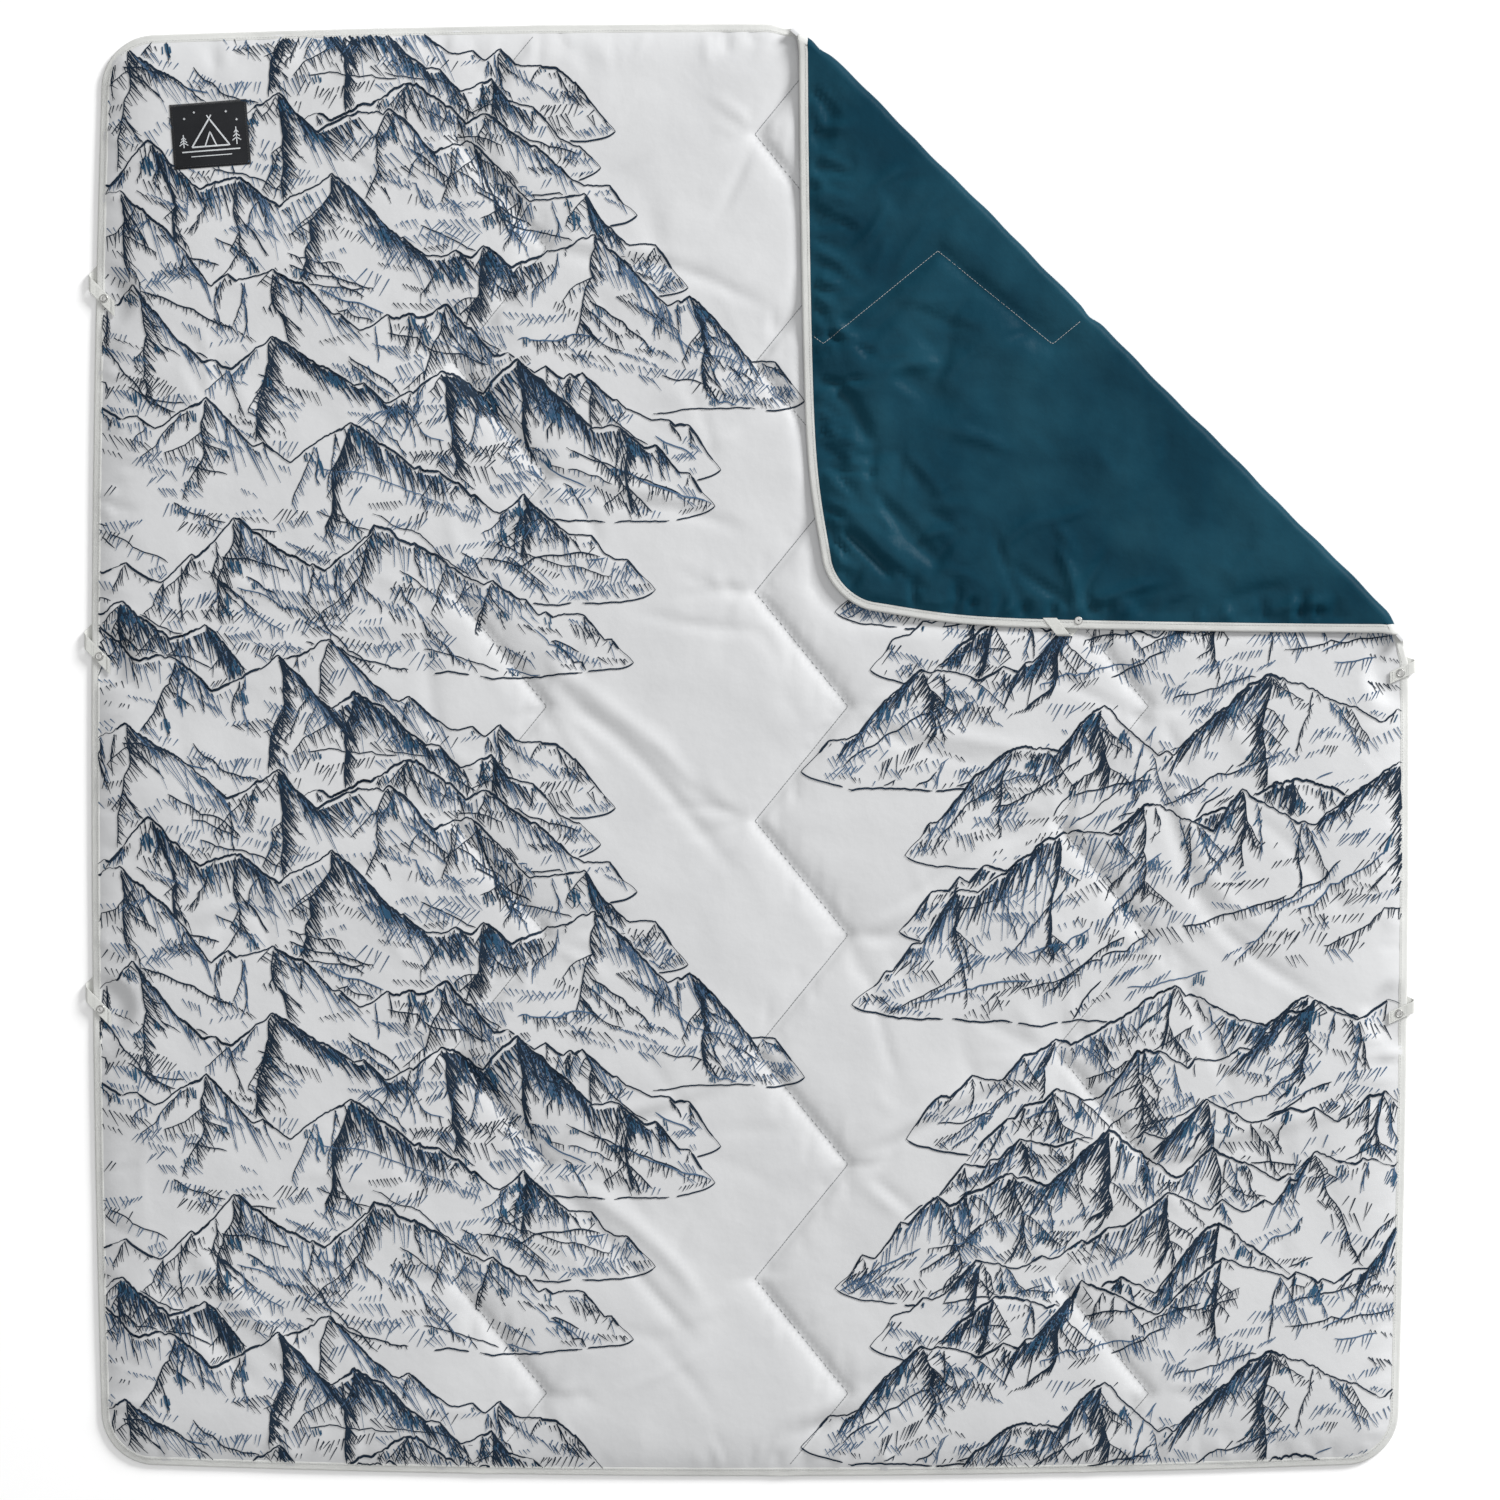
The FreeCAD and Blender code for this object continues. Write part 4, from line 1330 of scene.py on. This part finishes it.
class Sheet:
    """Collects the strokes of one print and hides those behind nearer mountains."""

    def __init__(self):
        self.strokes = []
        self.nx = int(2 * (PRINT_W + MARGIN_X) / CELL)
        self.ny = int(2 * (PRINT_L + MARGIN_Y) / CELL)
        self.taken = np.zeros((self.nx, self.ny), bool)

    def cell(self, pts):
        i = ((pts[:, 0] + PRINT_W + MARGIN_X) / CELL).astype(int).clip(0, self.nx - 1)
        j = ((pts[:, 1] + PRINT_L + MARGIN_Y) / CELL).astype(int).clip(0, self.ny - 1)
        return i, j

    def add(self, pts, width, tone, inside=None, taper=0.5):
        pts = np.asarray(pts, float)
        i, j = self.cell(pts)
        ok = ~self.taken[i, j]
        if inside is not None:
            ok &= inside(pts)
        self.strokes += [(run, width, tone, taper) for run in runs_of(pts, ok) if len(run) > 1]


class Range:
    """One mountain range: a ridge that comes in from the side edge and ends in a point."""

    def __init__(self, sheet, tip, reach, rng):
        self.sheet, self.rng = sheet, rng
        self.tip = np.array(tip, float)
        self.n = int(reach / 2.5)
        self.t = np.linspace(0, reach, self.n)          # distance from the tip towards the edge
        t = self.t
        self.peaks, self.knolls = [], []
        tall = self.raise_peaks(rng.uniform(100, 210), reach, (95, 260), (34, 112), 320, (0.8, 2.3),
                                self.peaks)
        low = self.raise_peaks(rng.uniform(28, 50), reach, (20, 75), (6, 30), 90, (1.0, 2.6), self.knolls)
        climb = rng.uniform(55, 85) * (1 - np.exp(-t / rng.uniform(90, 150))) + rng.uniform(0.04, 0.26) * t
        fade = np.clip(t / 30, 0, 1)
        jag = fractal(rng, self.n, 0.72, 7) * (3.0 + 0.06 * tall)
        shape = np.maximum(tall, 0.4 * tall + low)
        self.ridge = self.tip[1] + climb + shape * fade + jag * fade
        self.ridge[0] = self.tip[1]
        sag = fractal(rng, self.n, 0.6, 6) * 6 * np.clip(t / 60, 0, 1)
        blunt = 1 - np.exp(-t / 9)
        self.ridge[1:] += 7 * blunt[1:]
        self.base = self.tip[1] + sag - rng.uniform(6, 20) * (1 - np.exp(-t / 60)) - 7 * blunt - 0.02 * t

    def raise_peaks(self, at, reach, spacing, heights, grown, widths, kept):
        """Peaks at random spacings, full grown this far from the tip; kept collects them."""
        rng = self.rng
        total = np.zeros(self.n)
        while at < reach - 8:
            height = rng.uniform(*heights) * min(1, (at + 30) / grown)
            left, right = height * rng.uniform(*widths), height * rng.uniform(*widths)
            away = np.where(self.t > at, (self.t - at) / left, (at - self.t) / right)
            total = np.maximum(total, height * np.clip(1 - away, 0, 1) ** rng.uniform(0.75, 1.3))
            kept.append((at, height, left, right))
            at += rng.uniform(*spacing)
        return total

    def x_of(self, t):
        return self.tip[0] - t

    def t_of(self, x):
        return self.tip[0] - x

    def ridge_at(self, t):
        return np.interp(t, self.t, self.ridge)

    def base_at(self, t):
        return np.interp(t, self.t, self.base)

    def inside(self, margin=1.5):
        """A test for points on this range: under its ridge and, near the tip, above its foot."""
        def test(pts):
            t = self.t_of(pts[:, 0])
            ok = pts[:, 1] < self.ridge_at(t) - margin
            near_tip = t < 330
            ok &= ~near_tip | (pts[:, 1] > self.base_at(t) + 2)
            return ok & (t > 3) & (t < self.t[-1])
        return test

    def draw(self):
        rng, sh = self.rng, self.sheet
        ridge = np.column_stack([self.x_of(self.t), self.ridge])
        sh.add(ridge, 2.1, INK, taper=0.9)
        for at, _, _, right in self.peaks + self.knolls:
            shaded = (self.t < at) & (self.t > at - right * rng.uniform(0.4, 0.9))
            if shaded.sum() > 3:
                sh.add(ridge[shaded] - [0, 1.0], rng.uniform(2.2, 3.8), INK, taper=0.2)
        stop = rng.uniform(190, 460)
        k = 0
        while k < self.n - 2 and self.t[k] < stop:
            run = int(rng.uniform(20, 70))
            seg = slice(k, min(k + run, self.n - 1))
            pts = np.column_stack([self.x_of(self.t[seg]), self.base[seg]])
            sh.add(pts, rng.uniform(1.9, 2.9), INK, taper=0.6)
            k += run + int(rng.uniform(1, 6))
        for at, _, left, right in self.peaks:
            self.peak_detail(at, left, right)
        for at, height, _, right in self.knolls:
            self.knoll_detail(at, height, right)
        self.inner_ridges()
        self.hatch_groups()

    def knoll_detail(self, at, height, right):
        """A short crest and a few ticks under a lesser top."""
        rng = self.rng
        top = np.array([self.x_of(at), self.ridge_at(at)])
        crest = self.spur(top, -math.pi / 2 + rng.uniform(-0.4, 0.5), height * rng.uniform(0.8, 2.2), 1.5)
        heading = -math.pi / 2 + rng.uniform(0.15, 0.6)
        self.strokes_from(crest, heading, height * rng.uniform(0.4, 1.0), 1.7, INK, gap=5.2, decay=0.4)
        t = np.linspace(at, at - right, 8)
        slope = np.column_stack([self.x_of(t), self.ridge_at(t)])
        tone = INK if rng.random() < 0.6 else HATCH
        self.strokes_from(slope, heading, height * rng.uniform(0.5, 1.2), 1.7, tone, gap=5.4, decay=0.5)
        if rng.random() < 0.3:
            self.blue_patch(top + [3, -3], rng.uniform(8, 16), rng.uniform(10, 22), 0.3)

    def spur(self, start, heading, length, width, tone=INK, wander=0.5):
        """A crest line that wanders downhill; returns its points."""
        rng = self.rng
        pts = [np.array(start, float)]
        step = 6.0
        swing = rng.uniform(-wander, wander)
        a = heading
        for _ in range(int(length / step)):
            swing = 0.72 * swing + rng.normal(0, 0.16)
            if rng.random() < 0.12:
                swing = -swing + rng.uniform(-0.3, 0.3)
            a = heading + swing
            pts.append(pts[-1] + step * np.array([math.cos(a), math.sin(a)]))
        pts = np.array(pts)
        self.sheet.add(pts, width, tone, self.inside(), taper=0.35)
        return pts

    def strokes_from(self, line, heading, length, width, tone, gap=5.0, spread=0.12, keep=1.0, decay=0.0):
        """Hatching: a comb of short strokes that starts along a line."""
        rng = self.rng
        if len(line) < 2:
            return
        d = np.r_[0, np.cumsum(np.hypot(*np.diff(line, axis=0).T))]
        total = d[-1]
        s = rng.uniform(0, gap)
        test = self.inside()
        while s < total:
            p = np.array([np.interp(s, d, line[:, 0]), np.interp(s, d, line[:, 1])])
            f = s / max(total, 1)
            ell = length * (1 - decay * f) * rng.uniform(0.45, 1.0)
            if rng.random() < keep and ell > 4:
                a = heading + rng.normal(0, spread)
                m = max(2, int(ell / 7) + 1)
                r = np.linspace(0, ell, m)[:, None]
                bend = rng.normal(0, 0.02) * (r / max(ell, 1)) ** 2 * ell
                pts = p + r * [math.cos(a), math.sin(a)] + bend * [-math.sin(a), math.cos(a)]
                self.sheet.add(pts, width * rng.uniform(0.75, 1.2), tone, test, taper=0.0)
            s += gap * rng.uniform(0.7, 1.35)

    def blue_patch(self, p, width, height, lean):
        """A dark blue wash made of overlapping brush strokes."""
        rng = self.rng
        n = max(3, int(width / 3.2))
        for k in range(n):
            u = (k + 0.5) / n * 2 - 1
            top = p + np.array([u * width / 2, -abs(u) * height * 0.35])
            ell = height * (1 - 0.6 * abs(u)) * rng.uniform(0.6, 1.15)
            a = -math.pi / 2 + lean + rng.normal(0, 0.12)
            r = np.linspace(0, ell, max(2, int(ell / 6)))[:, None]
            pts = top + r * [math.cos(a), math.sin(a)]
            self.sheet.add(pts, 3.9, BLUE, self.inside(2.5), taper=0.3)

    def peak_detail(self, at, left, right):
        """The crest, the shaded side and the spurs of one peak."""
        rng = self.rng
        top = np.array([self.x_of(at), self.ridge_at(at)])
        body = min(max(45.0, top[1] - self.base_at(at)), 200)
        down = -math.pi / 2
        crest = self.spur(top, down + rng.uniform(-0.35, 0.3), body * rng.uniform(0.55, 0.95), 1.8)
        heading = down + rng.uniform(0.3, 0.7)
        t = np.linspace(at, at - right * rng.uniform(0.8, 1.2), 24)
        shaded = np.column_stack([self.x_of(t), self.ridge_at(t)])
        bold = rng.random() < 0.5
        if bold:
            self.strokes_from(shaded, heading, body * rng.uniform(0.3, 0.5), 2.3, INK, gap=3.9, decay=0.35)
            self.strokes_from(crest, heading, body * rng.uniform(0.15, 0.3), 2.2, INK, gap=4.2, decay=0.4)
        else:
            self.strokes_from(shaded, heading, body * rng.uniform(0.1, 0.25), 1.8, INK,
                              gap=6.5, decay=0.5, keep=0.8)
        self.strokes_from(shaded, heading - 0.15, body * rng.uniform(0.3, 0.6), 1.6, HATCH,
                          gap=8.5, decay=0.4)
        self.strokes_from(crest, heading, body * rng.uniform(0.12, 0.3), 1.9, INK, gap=5.2, decay=0.6)
        for _ in range(rng.integers(1, 4) if bold else 0):
            place = shaded[rng.integers(0, 14)] + [rng.uniform(0, 6), -3]
            self.blue_patch(place, rng.uniform(10, 26), rng.uniform(14, 38), rng.uniform(0.1, 0.5))
        for _ in range(rng.integers(3, 7)):
            k = rng.integers(0, max(1, len(crest) - 2))
            sideways = rng.choice([-1, 1])
            branch = self.spur(crest[k], down + sideways * rng.uniform(0.4, 1.0), rng.uniform(22, 75), 1.4)
            lean = heading + rng.normal(0, 0.2)
            self.strokes_from(branch, lean, rng.uniform(9, 26), 1.8, INK, gap=5.2, keep=0.9)
            if rng.random() < 0.3:
                self.blue_patch(branch[len(branch) // 2], rng.uniform(8, 20), rng.uniform(10, 28), 0.3)
        for _ in range(rng.integers(3, 6)):
            tt = at + rng.uniform(0.1, 1.0) * left
            p = np.array([self.x_of(tt), self.ridge_at(tt)])
            branch = self.spur(p, down + rng.uniform(-0.8, 0.2), rng.uniform(28, 95), 1.4)
            tone = INK if rng.random() < 0.5 else HATCH
            self.strokes_from(branch, down + rng.uniform(-0.1, 0.6), rng.uniform(8, 26), 1.7, tone, gap=5.4)
            if rng.random() < 0.2:
                self.blue_patch(branch[len(branch) // 3], rng.uniform(8, 20), rng.uniform(12, 30), 0.3)

    def inner_ridges(self):
        """Lesser crests in front of the ridge, with ticks under them."""
        rng = self.rng
        reach = self.t[-1]
        count = int(reach / 42)
        for _ in range(count):
            t0 = rng.uniform(90, reach)
            depth = rng.uniform(0.1, 0.95)
            y_top, y_low = self.ridge_at(t0), self.base_at(t0)
            p = np.array([self.x_of(t0), y_top - depth * min(y_top - y_low, 230)])
            heading = -rng.uniform(0.15, 0.85)
            tone = INK if rng.random() < 0.7 else HATCH
            line = self.spur(p, heading, rng.uniform(45, 190), rng.uniform(1.5, 2.3), tone, wander=0.45)
            roll = rng.random()
            if roll < 0.5:
                self.strokes_from(line, -math.pi / 2 + rng.uniform(-0.3, 0.5), rng.uniform(7, 20), 1.8, INK,
                                  gap=5.6, keep=0.85)
            elif roll < 0.85:
                self.strokes_from(line, -math.pi / 2 + rng.uniform(-0.5, 0.5), rng.uniform(10, 26), 1.6,
                                  HATCH, gap=6.5, keep=0.8)
            if rng.random() < 0.25:
                self.blue_patch(line[min(2, len(line) - 1)], rng.uniform(8, 20), rng.uniform(10, 22), 0.2)

    def hatch_groups(self):
        """Loose groups of parallel strokes over the slopes."""
        rng = self.rng
        reach = self.t[-1]
        count = int(reach / 7)
        for _ in range(count):
            t0 = rng.uniform(25, reach)
            y_top, y_low = self.ridge_at(t0), self.base_at(t0)
            p = np.array([self.x_of(t0), y_top - rng.uniform(0.06, 0.97) * min(y_top - y_low, 230)])
            lean = rng.uniform(0.75, 1.2) if rng.random() < 0.6 else math.pi - rng.uniform(0.8, 1.25)
            across = rng.uniform(-0.5, 0.35)
            n = rng.integers(4, 12)
            gap = rng.uniform(5.0, 8.0)
            line = p + np.linspace(0, n * gap, n)[:, None] * [math.cos(across), math.sin(across)]
            tone = HATCH if rng.random() < 0.62 else INK
            self.strokes_from(line, -lean, rng.uniform(10, 32), 1.7, tone, gap=gap, keep=0.9)

    def claim(self):
        """Hide whatever lies behind this range."""
        sh = self.sheet
        xs = -PRINT_W - MARGIN_X + (np.arange(sh.nx) + 0.5) * CELL
        ys = -PRINT_L - MARGIN_Y + (np.arange(sh.ny) + 0.5) * CELL
        t = self.t_of(xs)
        top = np.where(t > 0, self.ridge_at(t), -1e9)
        low = np.where(t > 0, self.base_at(t), 1e9)
        low = np.where(t > 330, low - 60, low)
        sh.taken |= (ys[None, :] < top[:, None] + 1.0) & (ys[None, :] > low[:, None])


# Where the ranges end, in one repeat of each side, as (x, y) in mm.
LEFT_TIPS = ((-185, 850), (-205, 800), (-155, 735), (-85, 635), (75, 480), (-40, 385), (-48, 335),
             (-130, 220), (-160, 120))
RIGHT_TIPS = ((117, 190), (165, 110), (180, 45), (70, -30), (213, -145), (205, -250), (140, -350),
              (215, -535), (288, -577), (205, -655))


def mountain_print(side, tips, seed):
    """All strokes of the ranges on one side; side -1 is the left."""
    sheet = Sheet()
    seeds = np.random.default_rng(seed).integers(1 << 30, size=len(tips))
    layers = []
    for lap in range(-1, 3):
        for (x, y), own in zip(tips, seeds):
            at = y - lap * PERIOD
            if -PRINT_L - 240 < at < PRINT_L + 90:
                layers.append((at, x, int(own)))
    layers.sort()
    for y, x, own in layers:
        tip_x = x if side < 0 else -x
        ridge = Range(sheet, (tip_x, y), PRINT_W + tip_x + 15, np.random.default_rng(own))
        ridge.draw()
        ridge.claim()
    flip = [1, 1] if side < 0 else [-1, 1]
    return [(pts * flip, width, tone, taper) for pts, width, tone, taper in sheet.strokes]


def ribbon_mesh(name, strokes, height, keep):
    """Every stroke as a flat ribbon that follows the cloth."""
    verts, faces, tones = [], [], []
    base = 0
    for pts, width, tone, taper in strokes:
        ok = keep(pts[:, 0], pts[:, 1])
        for run in runs_of(pts, ok):
            n = len(run)
            if n < 2:
                continue
            way = np.gradient(run, axis=0)
            way /= np.maximum(np.hypot(way[:, 0], way[:, 1]), 1e-6)[:, None]
            side = np.column_stack([-way[:, 1], way[:, 0]])
            s = np.linspace(0, 1, n)
            thin_ends = np.where((s < 0.04) | (s > 0.96), 0.45, 1.0)
            wide = width / 2 * (1 - 0.65 * s ** 1.5 if taper < 0.01 else thin_ends)
            left, right = run + side * wide[:, None], run - side * wide[:, None]
            both = np.vstack([left, right])
            x, y, z = height(both[:, 0], both[:, 1])
            verts.append(np.column_stack([x, y, z]))
            faces += [(base + k, base + n + k, base + n + k + 1, base + k + 1) for k in range(n - 1)]
            tones += [tone] * (n - 1)
            base += 2 * n
    return new_mesh(name, np.vstack(verts), faces), tones


def build_print():
    left, right = mountain_print(-1, LEFT_TIPS, 11), mountain_print(1, RIGHT_TIPS, 23)

    def on_face(x, y):
        return x, y, FACE.at(x, y) + 0.95

    def on_corner(x, y):
        fx, fy = mirrored(x, y)
        return fx, fy, UNDER.at(fx, fy) - 0.8

    margin = 9.5                                     # the print stops this far from the tape and the fold

    def main_area(x, y):
        return (room(edge_distance, margin, margin)(x, y) > 0) & ~under_label(x, y)

    def corner_area(x, y):
        return (edge_distance(x, y) > margin) & (past_fold(x, y) > margin)

    for name, strokes, height, area, body in (
            ("face_print_left", left, on_face, main_area, "blanket"),
            ("face_print_right", right, on_face, main_area, "blanket"),
            ("corner_print", right, on_corner, corner_area, "folded_corner")):
        obj, tones = ribbon_mesh(name, strokes, height, area)
        finish_piece(obj, ["ink", "ink_blue", "ink_hatch"], body)
        obj.data.polygons.foreach_set("material_index", np.array(tones, np.int32))


def under_label(x, y):
    """True where the label covers the print."""
    c, s = math.cos(LABEL_TURN), math.sin(LABEL_TURN)
    dx, dy = x - LABEL_MID[0], y - LABEL_MID[1]
    a, b = dx * c + dy * s, dy * c - dx * s
    return (np.abs(a) < LABEL_W / 2 - 2) & (np.abs(b) < LABEL_H / 2 - 2)


def shift_points(centre, share_at, way, body=None):
    """Move the pieces' points sideways, by mm given by share_at(distance from the centre)."""
    for obj in bpy.data.objects:
        if obj.type != "MESH" or obj.name in frame["nodes"]:
            continue
        if body and body_of(obj) != [body]:
            continue
        co = np.empty(len(obj.data.vertices) * 3, np.float32)
        obj.data.vertices.foreach_get("co", co)
        co = co.reshape(-1, 3)
        share = share_at(np.hypot(co[:, 0] / MM - centre[0], co[:, 1] / MM - centre[1]))
        if share.max() > 0:
            co[:, :2] += MM * share[:, None] * np.array(way)
            obj.data.vertices.foreach_set("co", co.ravel())
            obj.data.update()


def draw_in_corner():
    """The turned-back corner curls, which draws its rounded tip in towards the fold."""
    tip = mirrored(HALF_W - SIDE_BOW, HALF_L - END_BOW)
    shift_points(tip, lambda away: 21.0 * np.exp(-(away / 150) ** 2), (1, 1), "folded_corner")


def round_fold_ends():
    """The outline rounds off where the folded edge meets the blanket's sides."""
    reach, pull = 46.0, 9.0
    for end, way in ((1, (-0.38, -0.92)), (-1, (-0.92, -0.38))):
        place = from_fold(fold_end(0.0, 0.0, end), 0.0)
        shift_points(place, lambda away: pull * np.clip(1 - (away / reach) ** 2, 0, 1) ** 2, way)


build_cloths()
build_roll()
build_batting()
build_tapes()
build_quilting()
build_label()
build_tabs()
build_corner_tab()
build_print()
draw_in_corner()
round_fold_ends()

# ---- floor, light and camera ----------------------------------------------------------------
def build_stage():
    mesh = bpy.data.meshes.new("floor")
    reach, z = 40.0, -0.0006
    corners = [(a * reach, b * reach, z) for a, b in ((-1, -1), (1, -1), (1, 1), (-1, 1))]
    mesh.from_pydata(corners, [], [(0, 1, 2, 3)])
    floor = bpy.data.objects.new("floor", mesh)
    bpy.context.scene.collection.objects.link(floor)
    mat, _, shader = node_material("pale_floor")
    shader.inputs["Base Color"].default_value = (0.93, 0.93, 0.93, 1)
    shader.inputs["Roughness"].default_value = 0.9
    floor.data.materials.append(mat)


def area_light(name, place, size, power):
    """A square light aimed at the middle of the blanket."""
    data = bpy.data.lights.new(name, "AREA")
    data.shape = "RECTANGLE"
    data.size, data.size_y = size, size
    data.energy = power
    light = bpy.data.objects.new(name, data)
    light.location = place
    way = Vector((0, 0, 0)) - Vector(place)
    light.rotation_euler = way.to_track_quat("-Z", "Y").to_euler()
    bpy.context.scene.collection.objects.link(light)


def build_camera():
    """Straight above the blanket, as far off as the width that it has to see needs."""
    data = bpy.data.cameras.new("camera")
    data.lens = 85.0
    data.sensor_width = 36.0
    data.clip_end = 50.0
    seen_width = 2.0648
    distance = seen_width * data.lens / data.sensor_width
    camera = bpy.data.objects.new("camera", data)
    camera.location = (0.0, 0.0, distance + 0.012)
    bpy.context.scene.collection.objects.link(camera)
    bpy.context.scene.camera = camera


build_stage()
area_light("key", (9.2, 8.0, 5.2), 4.4, 2350)
area_light("top", (0.0, 0.0, 6.5), 5.0, 150)
world = bpy.data.worlds.new("studio")
world.use_nodes = True
world.node_tree.nodes["Background"].inputs["Color"].default_value = (1, 1, 1, 1)
world.node_tree.nodes["Background"].inputs["Strength"].default_value = 0.40
bpy.context.scene.world = world
bpy.context.scene.view_settings.view_transform = "Standard"
build_camera()
